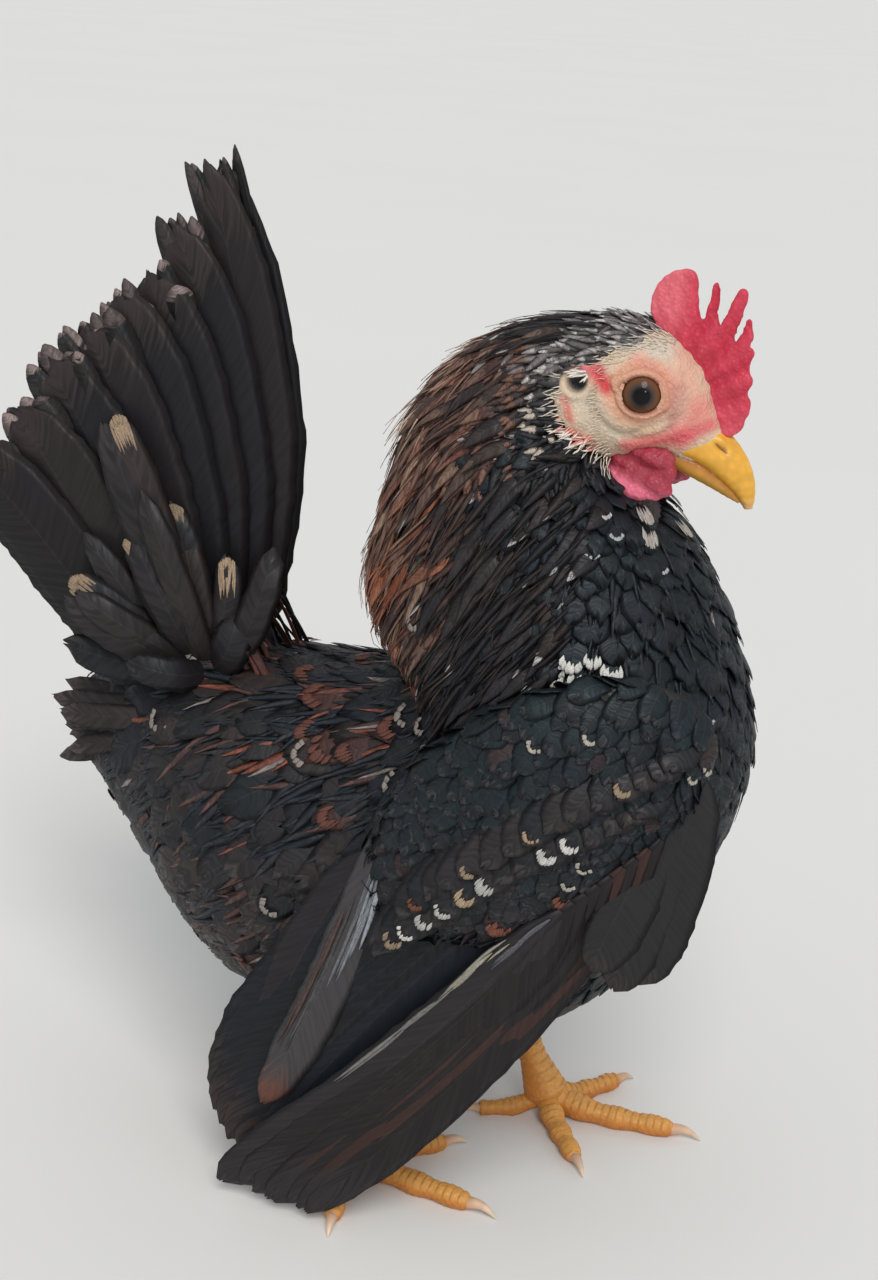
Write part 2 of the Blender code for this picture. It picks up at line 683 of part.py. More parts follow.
def shield(side, grow=0.0):
    """The feathered shoulder and forearm, as a shield that lies along the body."""
    slope = math.radians(SHIELD_SLOPE)
    form = egg("shield", (0, 0, 0), (1, 1, 1), "plumage", 16, 8)
    for vertex in form.data.vertices:
        along, deep, across = (c / MM for c in vertex.co)
        run = along * (SHIELD_HALF[0] + grow)
        rise = across * (SHIELD_HALF[1] + grow)
        x = SHIELD_CENTRE[0] + run * math.cos(slope) - rise * math.sin(slope) + WING_SLIDE[side]
        z = SHIELD_CENTRE[1] + run * math.sin(slope) + rise * math.cos(slope)
        y = side_sign(side) * wing_y(x) + deep * (SHIELD_HALF_DEPTH + grow)
        vertex.co = Vector((x, y, z)) * MM
    return form


def wing_feather(side, root, tip, root_lift, tip_y, half, twist, bow=0.0, shape=QUILL):
    """A wing feather given by the places of its ends in side view."""
    sign = side_sign(side)
    along = Vector((tip[0] - root[0], 0, tip[1] - root[1])).normalized()
    stand = Vector((-along.z, 0, along.x)) * bow
    slid = WING_SLIDE[side]
    start = (root[0] + slid, sign * (wing_y(root[0] + slid) + root_lift), root[1])
    end = (tip[0] + slid, sign * tip_y, tip[1])
    return flight_feather(start, end, stand, (0, sign, 0), half, [sign * roll for roll in twist], shape)


def build_wing(side):
    """A wing let down: two tiers of quills that pass one over another, their coverts and the bastard wing."""
    wing = shield(side)
    vanes = []
    for k, tip in enumerate(SECONDARY_TIPS):
        root = blend(*SECONDARY_ROOTS, k / (SECONDARY_COUNT - 1))
        vanes.append(wing_feather(side, root, tip, 1.8, WING_TIP_Y - 3.0, SECONDARY_HALF_WIDTH, (-8, -9), -2.0))
    for k in range(PRIMARY_COUNT):
        share = k / (PRIMARY_COUNT - 1)
        root, tip = blend(*PRIMARY_ROOTS, share), blend(*PRIMARY_TIPS, share)
        half = PRIMARY_HALF_WIDTH[0] + (PRIMARY_HALF_WIDTH[1] - PRIMARY_HALF_WIDTH[0]) * share
        vanes.append(wing_feather(side, root, tip, 4.0, WING_TIP_Y + 1.2, half, (-13, -15), PRIMARY_BOW))
    for k in range(GREATER_COVERT_COUNT):
        tip = on_curve(GREATER_COVERT_TIPS, k / (GREATER_COVERT_COUNT - 1))
        root = (tip[0] + GREATER_COVERT_REACH[0], tip[1] + GREATER_COVERT_REACH[1])
        tip_y = wing_y(tip[0] + WING_SLIDE[side]) + 8.0
        vanes.append(wing_feather(side, root, tip, 2.6, tip_y, 4.8, (-8, -8), 0.0, TONGUE))
    for root, tip in zip(ALULA_ROOTS, ALULA_TIPS):
        tip_y = wing_y(tip[0] + WING_SLIDE[side]) + 6.0
        vanes.append(wing_feather(side, root, tip, 2.4, tip_y, 5.6, (-10, -10), 1.5))
    join(wing, vanes)
    cut(wing, trunk("cutter", GAP))
    return finish_node(wing, f"wing_{side}")


def tube(name, path, radii, sides, slot, grow=0.0):
    """A closed round form along a path, with its own radius at each point."""
    path = [Vector(p) for p in path]
    points = []
    for i, centre in enumerate(path):
        along = (path[min(i + 1, len(path) - 1)] - path[max(i - 1, 0)]).normalized()
        side = along.cross(Vector((0, 0, 1)))
        side = side.normalized() if side.length > 0.2 else Vector((0, 1, 0))
        over = side.cross(along).normalized()
        for k in range(sides):
            turn = 2 * math.pi * k / sides
            points.append(centre + (side * math.cos(turn) + over * math.sin(turn)) * (radii[i] + grow))
    return make_object(name, *capped_rings(points, sides), slot)


def shank_form(side, grow=0.0):
    """The bare leg from the hock to the ball of the foot."""
    foot = Vector((*FEET[side][0], KNUCKLE_Z))
    hock = Vector(HOCKS[side])
    path = [hock.lerp(foot, t) for t in (-0.12, 0.0, 0.12, 0.4, 0.75, 0.92, 1.0, 1.08)]
    share = (0.8, 1.25, 1.1, 0.95, 1.0, 1.4, 1.6, 1.1)
    return tube("shank", path, [SHANK_RADIUS * s for s in share], 10, "leg", grow)


def thigh_form(side, grow=0.0):
    hip, hock = Vector(HIPS[side]), Vector(HOCKS[side])
    path = [hip.lerp(hock, t) for t in (0, 0.35, 0.7, 0.9, 1.0)]
    return tube("thigh", path, (13, 12.5, 9.0, 5.8, 4.0), 12, "plumage", grow)


def toe_path(side, toe, count=5):
    """The middle line of a toe, which arches from the ball of the foot down to the floor."""
    ball, tips = FEET[side]
    start = Vector((*ball, KNUCKLE_Z - 1.5))
    flat_z = TOE_RADIUS[toe] * 0.72
    end = Vector((*tips[toe], flat_z))
    end = start + (end - start) * (1 - CLAW_LENGTH[toe] * 0.8 / (end - start).length)
    end.z = flat_z
    path = []
    for i in range(count):
        t = i / (count - 1)
        place = start.lerp(end, t)
        place.z = flat_z + (start.z - flat_z) * max(0.0, 1 - 1.9 * t) ** 1.4
        path.append(place)
    return path


def toe_radii(toe, count=5):
    """A toe swells at its pads between the joints and narrows to its end."""
    base = TOE_RADIUS[toe]
    return [base * (1.12 - 0.38 * i / (count - 1)) * (1.05 if i % 2 else 0.97) for i in range(count)]


def build_leg(side):
    thigh = thigh_form(side)
    cut(thigh, trunk("cutter", grow=GAP))
    shank = shank_form(side)
    cut(shank, thigh_form(side, grow=GAP))
    keep_side(shank, (0, 0, 0), (0, 0, 1))
    made = [finish_node(thigh, f"thigh_{side}"), finish_node(shank, f"shank_{side}")]
    for toe in TOE_RADIUS:
        made += build_toe(side, toe)
    return made


def toe_form(side, toe, grow=0.0):
    return tube("toe", toe_path(side, toe), toe_radii(toe), 8, "leg", grow)


def build_toe(side, toe):
    path, radii = toe_path(side, toe), toe_radii(toe)
    form = toe_form(side, toe)
    keep_side(form, (0, 0, 0), (0, 0, 1))
    cut(form, shank_form(side, GAP))
    for earlier in list(TOE_RADIUS)[:list(TOE_RADIUS).index(toe)]:
        cut(form, toe_form(side, earlier, GAP))
    along = (path[-1] - path[-2]).normalized()
    start = path[-1] + along * GAP
    reach = CLAW_LENGTH[toe]
    claw_path, claw_radii = [], []
    for share, drop, radius in ((0, 0, 0.72), (0.4, -0.01, 0.62), (0.8, 0.17, 0.38), (1.0, 0.3, 0.14)):
        place = start + along * reach * share
        thick = radii[-1] * radius
        place.z = max(place.z - drop * reach, thick + 0.15)
        claw_path.append(place)
        claw_radii.append(thick)
    claw = tube("claw", claw_path, claw_radii, 7, "claw")
    return [finish_node(form, f"toe_{side}_{toe}"), finish_node(claw, f"claw_{side}_{toe}")]


def stand_on_origin():
    """Moves everything so that the origin is on the floor below the middle of the bird."""
    points = [v.co for obj in bpy.data.objects for v in obj.data.vertices]
    low = [min(p[i] for p in points) for i in range(3)]
    high = [max(p[i] for p in points) for i in range(3)]
    shift = Vector((-(low[0] + high[0]) / 2, -(low[1] + high[1]) / 2, -low[2]))
    for obj in bpy.data.objects:
        for vertex in obj.data.vertices:
            vertex.co += shift


def main():
    clear_scene()
    build_torso()
    build_head()
    build_bill()
    build_comb()
    for side in ("right", "left"):
        build_wattle(side)
        build_eye(side)
    build_neck()
    build_tail()
    for side in ("right", "left"):
        build_wing(side)
        build_leg(side)
    stand_on_origin()


main()
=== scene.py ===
import itertools
import math

import bpy
import numpy as np
from mathutils import Matrix, Vector
from mathutils.bvhtree import BVHTree


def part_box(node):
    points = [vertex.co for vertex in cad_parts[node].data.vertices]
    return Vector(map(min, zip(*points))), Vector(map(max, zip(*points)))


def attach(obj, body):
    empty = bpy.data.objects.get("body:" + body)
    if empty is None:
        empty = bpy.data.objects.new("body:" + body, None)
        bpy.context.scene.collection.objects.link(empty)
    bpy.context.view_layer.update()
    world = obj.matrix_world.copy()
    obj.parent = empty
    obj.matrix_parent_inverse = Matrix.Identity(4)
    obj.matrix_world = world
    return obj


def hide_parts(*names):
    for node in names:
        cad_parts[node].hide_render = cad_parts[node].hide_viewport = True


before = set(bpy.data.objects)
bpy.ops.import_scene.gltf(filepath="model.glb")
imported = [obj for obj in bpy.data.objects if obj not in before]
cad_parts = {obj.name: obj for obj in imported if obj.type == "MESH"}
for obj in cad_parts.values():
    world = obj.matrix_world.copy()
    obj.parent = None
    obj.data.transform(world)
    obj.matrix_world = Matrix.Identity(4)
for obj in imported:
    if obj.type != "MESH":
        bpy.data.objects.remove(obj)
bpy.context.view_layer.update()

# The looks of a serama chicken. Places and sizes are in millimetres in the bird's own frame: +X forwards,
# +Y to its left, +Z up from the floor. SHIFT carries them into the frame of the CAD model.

MM = 0.001
EYE_CENTRE = (23.2, 8.3, 176.6)
right_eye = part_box("eye_right")
SHIFT = (np.array(right_eye[0]) + np.array(right_eye[1])) / 2 / MM - np.array(EYE_CENTRE) * (1, -1, 1)
SIDES = ("right", "left")

# Forms repeated from the source: (x, z, tilt, up, down, half width) at each station.
TRUNK = (
    (-98, 88, 0, 5, 4, 5), (-90, 85, -3, 16, 9, 13), (-78, 81, -3, 24, 16, 21), (-54, 74, 0, 35, 37, 33),
    (-24, 72, 4, 40, 39, 36), (2, 79, 25, 41, 39, 36.5), (14, 95, 52, 42, 33.5, 35),
    (15, 113, 74, 44, 36, 33), (9, 131, 85, 39, 35, 28.5), (6, 149, 88, 33.5, 27, 23),
    (4, 163, 80, 27, 18, 17.5), (6, 174, 70, 18, 11, 12),
)
SKULL = (
    (-9, 173, 12, 7, 9, 8.5), (-3, 173, 6, 11, 12.5, 11.6), (6, 173, 0, 14, 14, 13.2),
    (15, 173.2, -5, 16, 14, 13.0), (22.5, 173, -12, 14.5, 12, 11.4), (28.5, 170.8, -24, 10.8, 8.6, 8.6),
    (33, 167.2, -34, 6.6, 6.0, 6.0), (36, 165, -40, 4.2, 4.0, 4.2),
)
UPPER_BILL = (
    (29.5, 166.6, -30, 5.4, 2.6, 5.6), (34.6, 165.6, -36, 4.9, 2.9, 5.0), (38.6, 163.0, -48, 4.0, 3.0, 3.9),
    (41.2, 160.2, -60, 2.9, 2.5, 2.7), (42.7, 157.6, -74, 1.7, 1.6, 1.6), (43.4, 155.4, -84, 0.7, 0.6, 0.7),
)
LOWER_BILL = (
    (28.0, 164.2, -20, 2.0, 2.6, 4.9), (33.4, 162.3, -26, 3.0, 2.7, 4.1), (37.4, 160.2, -34, 3.0, 2.3, 2.9),
    (40.4, 158.2, -42, 2.4, 1.7, 1.9), (42.0, 156.6, -50, 0.9, 0.8, 0.9),
)
STUMP = (
    (-70, 88, 20, 13), (-70, 100, 19.5, 13), (-70.5, 110, 16.5, 11.5), (-71.5, 118, 13, 8.5),
    (-72.5, 124, 8.5, 5), (-73, 127, 3.5, 2),
)
COMB_TOP = (
    (22.8, 187.6), (21.5, 190.2), (21.4, 193.0), (22.6, 195.8), (24.9, 197.6), (27.9, 198.4), (29.3, 197.2),
    (29.9, 193.2), (30.5, 189.9), (31.6, 190.3), (32.5, 196.2), (33.8, 196.0), (33.7, 191.0), (34.2, 188.0),
    (35.8, 190.4), (37.5, 195.4), (39.0, 194.6), (37.9, 189.6), (37.1, 185.2), (38.4, 186.8), (39.5, 190.6),
    (40.7, 189.8), (39.9, 185.4), (38.9, 182.0), (39.9, 182.6), (40.7, 185.4), (41.6, 184.4), (41.0, 181.2),
    (41.5, 178.6), (41.2, 176.6), (41.8, 174.8), (41.2, 172.0), (40.2, 169.6), (38.2, 168.6),
)
COMB_BASE = ((34.5, 167.0), (31.0, 172.0), (28.5, 176.5), (25.0, 181.0), (21.0, 184.0))
COMB_HALF = (0.75, 2.6)  # at its points and along its base
COMB_CROWN = 9.0
COMB_PIVOT = (22.0, 168.0)  # the ridges fan out from here
COMB_RIDGES = 26
WATTLE_BULBS = (
    ((23.8, 6.2, 160.9), (6.9, 1.8, 5.0)), ((21.4, 7.2, 158.5), (4.7, 1.6, 3.3)),
    ((27.0, 6.9, 159.4), (3.6, 1.3, 3.4)), ((25.5, 6.4, 164.0), (5.0, 1.9, 2.4)),
)
EYE_RADIUS = 4.6
EYE_TURN = 14.0
LID_RADIUS = 4.05
LID_THICKNESS = 0.589
EAR = (11.8, 177.6)
EARLOBE = (12.4, 170.6)
NOSTRIL = (37.9, 166.9)
NOSTRIL_SLOPE = -38

TAIL_ROOT_TOP = (-61.0, 1.8, 112.0)
TAIL_ROOT_LOW = (-82.0, 9.0, 102.0)
TAIL_TIPS = (
    (-71, 2.6, 212.5), (-78, 5.2, 199), (-84, 7.8, 188), (-90.5, 10.2, 181),
    (-98.5, 12.6, 173), (-108.5, 15.0, 163), (-119, 17.2, 149),
)
TAIL_COUNT = 8
TAIL_HALF_WIDTH = 10.6
TAIL_BOW = 7.0
COVERT_ROOT = (-66.0, 8.0, 106.0)
COVERT_TIPS = (
    (-82.5, 15.5, 159), (-72, 11.5, 141), (-79.5, 16.5, 134), (-91, 19.5, 124), (-60, 9.5, 131),
    (-84, 20, 118),
)

SHIELD_CENTRE = (16.0, 101.0)
SHIELD_HALF = (38.0, 21.0)
SHIELD_SLOPE = 41.0
SHIELD_Y = 36.5
SHIELD_HALF_DEPTH = 6.4
SHIELD_BEND = 0.0062
SHIELD_RIM = 7
WING_SLIDE = {"right": 0.0, "left": -12.0}
WING_TIP_Y = 38.5
PRIMARY_ROOTS = ((25.0, 84.0), (41.0, 100.0))
PRIMARY_TIPS = ((-44.0, 4.5), (-24.0, 2.6))
PRIMARY_BOW = 4.5
PRIMARY_HALF_WIDTH = (7.4, 5.2)
SECONDARY_ROOTS = ((20.0, 88.0), (-13.0, 88.0))
SECONDARY_TIPS = ((-38, 9), (-42.5, 11), (-45.5, 15), (-47, 20), (-46.5, 25), (-44, 30), (-38.5, 25))
SECONDARY_HALF_WIDTH = 7.2
GREATER_COVERT_TIPS = ((37.0, 105.0), (14.0, 90.0), (-9.0, 70.0))
ALULA_TIPS = ((31.5, 73.0), (35.5, 69.5), (40.0, 70.5))
ALULA_ROOTS = ((40.0, 106.0), (43.0, 109.0), (45.5, 111.0))

FEET = {
    "right": ((-23.5, -18.0), {
        "middle": (11.0, -21.5), "inner": (-3.5, 0.5), "outer": (-17.5, -41.5), "hind": (-41.0, -11.0),
    }),
    "left": ((8.5, 21.0), {
        "middle": (43.5, 25.0), "inner": (24.0, 1.0), "outer": (23.5, 42.0), "hind": (-8.0, 11.5),
    }),
}
HOCKS = {"right": (-33.0, -19.0, 37.0), "left": (-4.5, 19.0, 37.0)}
HIPS = {"right": (-24.0, -19.0, 66.0), "left": (-4.0, 19.0, 66.0)}
TOE_RADIUS = {"middle": 2.7, "inner": 2.5, "outer": 2.4, "hind": 2.1}
CLAW_LENGTH = {"inner": 5.5, "middle": 6.5, "outer": 5.0, "hind": 5.0}
SHANK_RADIUS = 3.1
KNUCKLE_Z = 6.2

# Colours, as the linear values that the shaders take.
BLACK = (0.008, 0.008, 0.010)
# The blue and green blacks are black with a painted blue and green sheen.
BLUE_SHEEN_BLACK = (0.007, 0.010, 0.016)
GREEN_SHEEN_BLACK = (0.006, 0.014, 0.014)
DUSK_BROWN = (0.030, 0.019, 0.017)
BROWN = (0.085, 0.040, 0.031)
RUFOUS = (0.150, 0.045, 0.028)
COPPER = (0.300, 0.080, 0.030)
STRAW = (0.340, 0.220, 0.150)
BUFF = (0.400, 0.290, 0.190)
WHITE = (0.600, 0.590, 0.550)
SLATE = (0.050, 0.047, 0.050)
CREAM = (0.640, 0.500, 0.360)
DARK_SKIN = (0.055, 0.040, 0.040)
BILL_TIP = (0.66, 0.44, 0.22)


def mix(a, b, share):
    """Colours or places a and b mixed, with one share for each point."""
    share = np.asarray(share, float)[..., None]
    return np.asarray(a, float) * (1 - share) + np.asarray(b, float) * share


def unit(vectors):
    return vectors / np.maximum(np.linalg.norm(vectors, axis=-1, keepdims=True), 1e-9)


def smooth_step(low, high, values):
    t = np.clip((np.asarray(values, float) - low) / (high - low), 0, 1)
    return t * t * (3 - 2 * t)


def on_curve(rows, t):
    """Rows at t, from 0 to 1, along a smooth curve through all the rows."""
    rows, t = np.asarray(rows, float), np.asarray(t, float)
    last = len(rows) - 1
    place = np.clip(t, 0, 1) * last
    i = np.minimum(place.astype(int), last - 1)
    u = (place - i)[..., None]
    before, start, end, after = (rows[np.clip(i + step, 0, last)] for step in (-1, 0, 1, 2))
    return 0.5 * (
        2 * start + (end - before) * u + (2 * before - 5 * start + 4 * end - after) * u * u
        + (3 * start - before - 3 * end + after) * u ** 3
    )


def side_sign(side):
    return -1.0 if side == "right" else 1.0


def mirrored(place, side):
    return np.array((place[0], place[1] * side_sign(side), place[2]), float)


def near_line(points, a, b, reach):
    """1 on the line from a to b in side view, falling to 0 at reach from it."""
    a, b = np.array(a, float), np.array(b, float)
    flat = points[..., (0, 2)] - a
    share = np.clip(flat @ (b - a) / ((b - a) @ (b - a)), 0, 1)
    away = np.linalg.norm(flat - share[..., None] * (b - a), axis=-1)
    return 1 - smooth_step(0, reach, away)


def side_gap(places, spot):
    """How far places are from a spot in side view."""
    return np.hypot(places[..., 0] - spot[0], places[..., 2] - spot[-1])


def even(count):
    return np.linspace(0, 1, count)


def gathered(rows):
    """The columns of a list of rows, each as one array."""
    return [np.array(column, float) for column in zip(*rows)]


# How many places are tried for each scattered coat, and the spacing of some: for the coat, a share of the
# feather's length.
COAT_TRIES, COAT_SPACING = 26000, 0.30
STREAK_TRIES = 14000
CROWN_TRIES = 9000
BRISTLE_TRIES, BRISTLE_SPACING = 7000, 0.62
COVERT_TRIES = 5200
THIGH_TRIES, THIGH_SPACING = 2600, 2.0
# Grown skins: the size of their cells in millimetres and how often they are smoothed.
BODY_CELL, BODY_SMOOTHING = 1.3, 3
SKIN_DEPTH, LEG_DEPTH = 3.2, 2.2  # below the tips of the coat
SHOULDER_CELL, SHOULDER_SMOOTHING = 1.2, 4
COMB_CELL, COMB_SMOOTHING = 0.34, 8
WATTLE_CELL, WATTLE_SMOOTHING = 0.3, 6


# Meshes

def make_piece(name, points, faces, material, slot, replaced=(), uvs=None, colours=None):
    """An object from points in millimetres and arrays of faces. uvs and colours go by point."""
    mesh = bpy.data.meshes.new(name)
    loops = np.concatenate([f.ravel() for f in faces]).astype(np.int32)
    sizes = np.concatenate([np.full(len(f), f.shape[1]) for f in faces])
    mesh.vertices.add(len(points))
    mesh.vertices.foreach_set("co", ((np.asarray(points) + SHIFT) * MM).astype(np.float32).ravel())
    mesh.loops.add(len(loops))
    mesh.loops.foreach_set("vertex_index", loops)
    mesh.polygons.add(len(sizes))
    mesh.polygons.foreach_set("loop_start", np.concatenate(([0], np.cumsum(sizes)[:-1])).astype(np.int32))
    mesh.update(calc_edges=True)
    for layer_name, values in (uvs or {}).items():
        layer = mesh.uv_layers.new(name=layer_name)
        layer.data.foreach_set("uv", values[loops].astype(np.float32).ravel())
    for layer_name, values in (colours or {}).items():
        layer = mesh.color_attributes.new(layer_name, "FLOAT_COLOR", "POINT")
        layer.data.foreach_set("color", values.astype(np.float32).ravel())
    mesh.shade_smooth()
    piece = add_object(name, mesh)
    if slot is not None:
        mesh.materials.append(material)
        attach(piece, "root")
        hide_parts(*replaced)
    return piece


def add_object(name, data):
    thing = bpy.data.objects.new(name, data)
    bpy.context.scene.collection.objects.link(thing)
    return thing


def flesh_piece(name, points, faces, tint, material, slot, nodes):
    """A piece of skin or horn, with a colour for each of its points."""
    colours = np.ones((len(points), 4))
    colours[:, :3] = tint
    make_piece(name, points, faces, material, slot, nodes, None, {"Tint": colours})


def ring_faces(rings, sides):
    """Faces over equal rings of points one after another, closed at both ends."""
    i, k = np.meshgrid(np.arange(rings - 1), np.arange(sides), indexing="ij")
    a, b = i * sides + k, i * sides + (k + 1) % sides
    quads = np.stack((a, b, b + sides, a + sides), -1).reshape(-1, 4)
    first = np.arange(sides)[::-1][None]
    return [quads, first, first[:, ::-1] + (rings - 1) * sides]


def ring_places(rings, sides):
    """Places on a form made of rings, along it and round it, each from 0 to 1."""
    return np.meshgrid(even(rings), np.arange(sides) / sides, indexing="ij")


def outward(points):
    """The outward direction at each point of a form made of rings."""
    around = np.roll(points, -1, axis=1) - np.roll(points, 1, axis=1)
    return unit(np.cross(around, np.gradient(points, axis=0)))


def loft_at(stations, u, v, depth=0.0):
    """Points of a rounded form at u round it and v along it, taken in by depth."""
    x, z, tilt, up, down, half = np.moveaxis(on_curve(stations, v), -1, 0)
    turn, lean = 2 * np.pi * u, np.radians(tilt)
    share = smooth_step(-1, 1, np.sin(turn))
    rise = (down + (up - down) * share - depth) * np.sin(turn)
    return np.stack((x - rise * np.sin(lean), (half - depth) * np.cos(turn), z + rise * np.cos(lean)), -1)


def loft_grid(stations, rings, sides, depth=0.0):
    v, u = ring_places(rings, sides)
    return loft_at(stations, u, v, depth).reshape(-1, 3), ring_faces(rings, sides)


def egg_grid(centre, radii, rings=24, sides=36):
    fall, turn = np.meshgrid(
        np.linspace(0.02, np.pi - 0.02, rings), 2 * np.pi * np.arange(sides) / sides, indexing="ij")
    unit_points = np.stack((np.sin(fall) * np.cos(turn), np.sin(fall) * np.sin(turn), -np.cos(fall)), -1)
    return (unit_points * radii + centre).reshape(-1, 3), ring_faces(rings, sides)


def tube_rings(path, radii, sides):
    """Rings of points round a path, the way each point faces from it, and its angle."""
    path = np.asarray(path, float)
    along = unit(np.gradient(path, axis=0))
    side = unit(np.cross(along, (0, 0, 1.0)) + 1e-6 * np.array((0, 1, 0)))
    over = np.cross(side, along)
    turn = 2 * np.pi * np.arange(sides) / sides
    spoke = side[:, None] * np.cos(turn)[None, :, None] + over[:, None] * np.sin(turn)[None, :, None]
    return path[:, None] + spoke * np.asarray(radii)[:, None, None], spoke, turn


def outline_points(outline, per_span):
    """A closed outline made smooth, per_span points between each two of its own."""
    rows = np.array(outline + outline[:1], float)
    return on_curve(rows, np.linspace(0, 1, (len(rows) - 1) * per_span, endpoint=False))


def remeshed(name, parts, voxel, smoothing):
    """Closed parts, which may overlap, grown into one even skin. Gives its points and its quads."""
    points, faces, base = [], [], 0
    for part_points, part_faces in parts:
        points.append(part_points)
        faces += [f + base for f in part_faces]
        base += len(part_points)
    draft = make_piece(name + "_draft", np.concatenate(points), faces, None, None)
    grown = draft.modifiers.new("skin", "REMESH")
    grown.mode, grown.voxel_size, grown.adaptivity = "VOXEL", voxel * MM, 0
    eased = draft.modifiers.new("eased", "SMOOTH")
    eased.factor, eased.iterations = 0.5, smoothing
    result = bpy.data.meshes.new_from_object(draft.evaluated_get(bpy.context.evaluated_depsgraph_get()))
    places = np.empty(len(result.vertices) * 3, np.float32)
    result.vertices.foreach_get("co", places)
    corners = np.empty(len(result.loops), np.int32)
    result.loops.foreach_get("vertex_index", corners)
    bpy.data.objects.remove(draft, do_unlink=True)
    bpy.data.meshes.remove(result)
    return places.reshape(-1, 3).astype(float) / MM - SHIFT, corners.reshape(-1, 4)


def quad_normals(points, quads):
    corners = points[quads]
    return np.cross(corners[:, 2] - corners[:, 0], corners[:, 3] - corners[:, 1])


def facings(points, quads):
    """The smooth outward direction at each point."""
    normal = quad_normals(points, quads)
    total = np.zeros_like(points)
    for k in range(4):
        np.add.at(total, quads[:, k], normal)
    return unit(total)


def too_near(place, other, reach):
    gap = other - place
    return gap @ gap < reach * reach


class Surface:
    """A closed form that feathers grow on: its points, quads and a tree to find the nearest place on it."""

    def __init__(self, points, quads):
        self.points, self.quads = points, quads
        self.face_facing = unit(facings(points, quads)[quads].mean(axis=1))
        self.tree = BVHTree.FromPolygons([Vector(p) for p in points], quads.tolist())

    def nearest(self, places):
        spots, ways = np.empty_like(places), np.empty_like(places)
        for i, place in enumerate(places):
            spot, _, face, _ = self.tree.find_nearest(Vector(place))
            spots[i], ways[i] = spot, self.face_facing[face]
        return spots, ways

    def scatter(self, tries, spacing, kept, chance):
        """Places no closer together than spacing gives, among random ones where kept is true."""
        corners = self.points[self.quads]
        area = np.linalg.norm(quad_normals(self.points, self.quads), axis=1)
        area = area * kept(corners.mean(axis=1), self.face_facing)
        face = np.searchsorted(np.cumsum(area) / area.sum(), chance.random(tries))
        s, t = chance.random((2, tries, 1))
        c = corners[face]
        places = (c[:, 0] * (1 - s) + c[:, 1] * s) * (1 - t) + (c[:, 3] * (1 - s) + c[:, 2] * s) * t
        reach = np.broadcast_to(spacing(places), tries)
        cell = reach.max()
        grid, chosen = {}, []
        for i, (place, near) in enumerate(zip(places, reach)):
            key = tuple((place // cell).astype(int))
            cells = itertools.product(*((k - 1, k, k + 1) for k in key))
            others = (other for spot in cells for other in grid.get(spot, ()))
            if not any(too_near(place, places[other], near) for other in others):
                grid.setdefault(key, []).append(i)
                chosen.append(i)
        return places[chosen], self.face_facing[face[chosen]]

    def lay(self, roots, ways, lie, lengths, steps, veer, rise):
        """Paths that start at the roots and follow the lie of the coat over this form. rise gives how far
        they are off it at each of the steps."""
        stations = len(steps)
        paths, ups = np.empty((len(roots), stations, 3)), np.empty((len(roots), stations, 3))
        place, way = roots, ways
        for k in range(stations):
            paths[:, k], ups[:, k] = place, way
            flow = lie(place, way)
            flow = unit(flow - way * np.sum(flow * way, axis=1, keepdims=True))
            across = np.cross(way, flow)
            flow = flow * np.cos(veer)[:, None] + across * np.sin(veer)[:, None]
            if k < stations - 1:
                stride = lengths * (steps[k + 1] - steps[k])
                place, way = self.nearest(place + flow * stride[:, None])
        return paths + ups * rise(steps[None, :, None]), ups


# Feathers

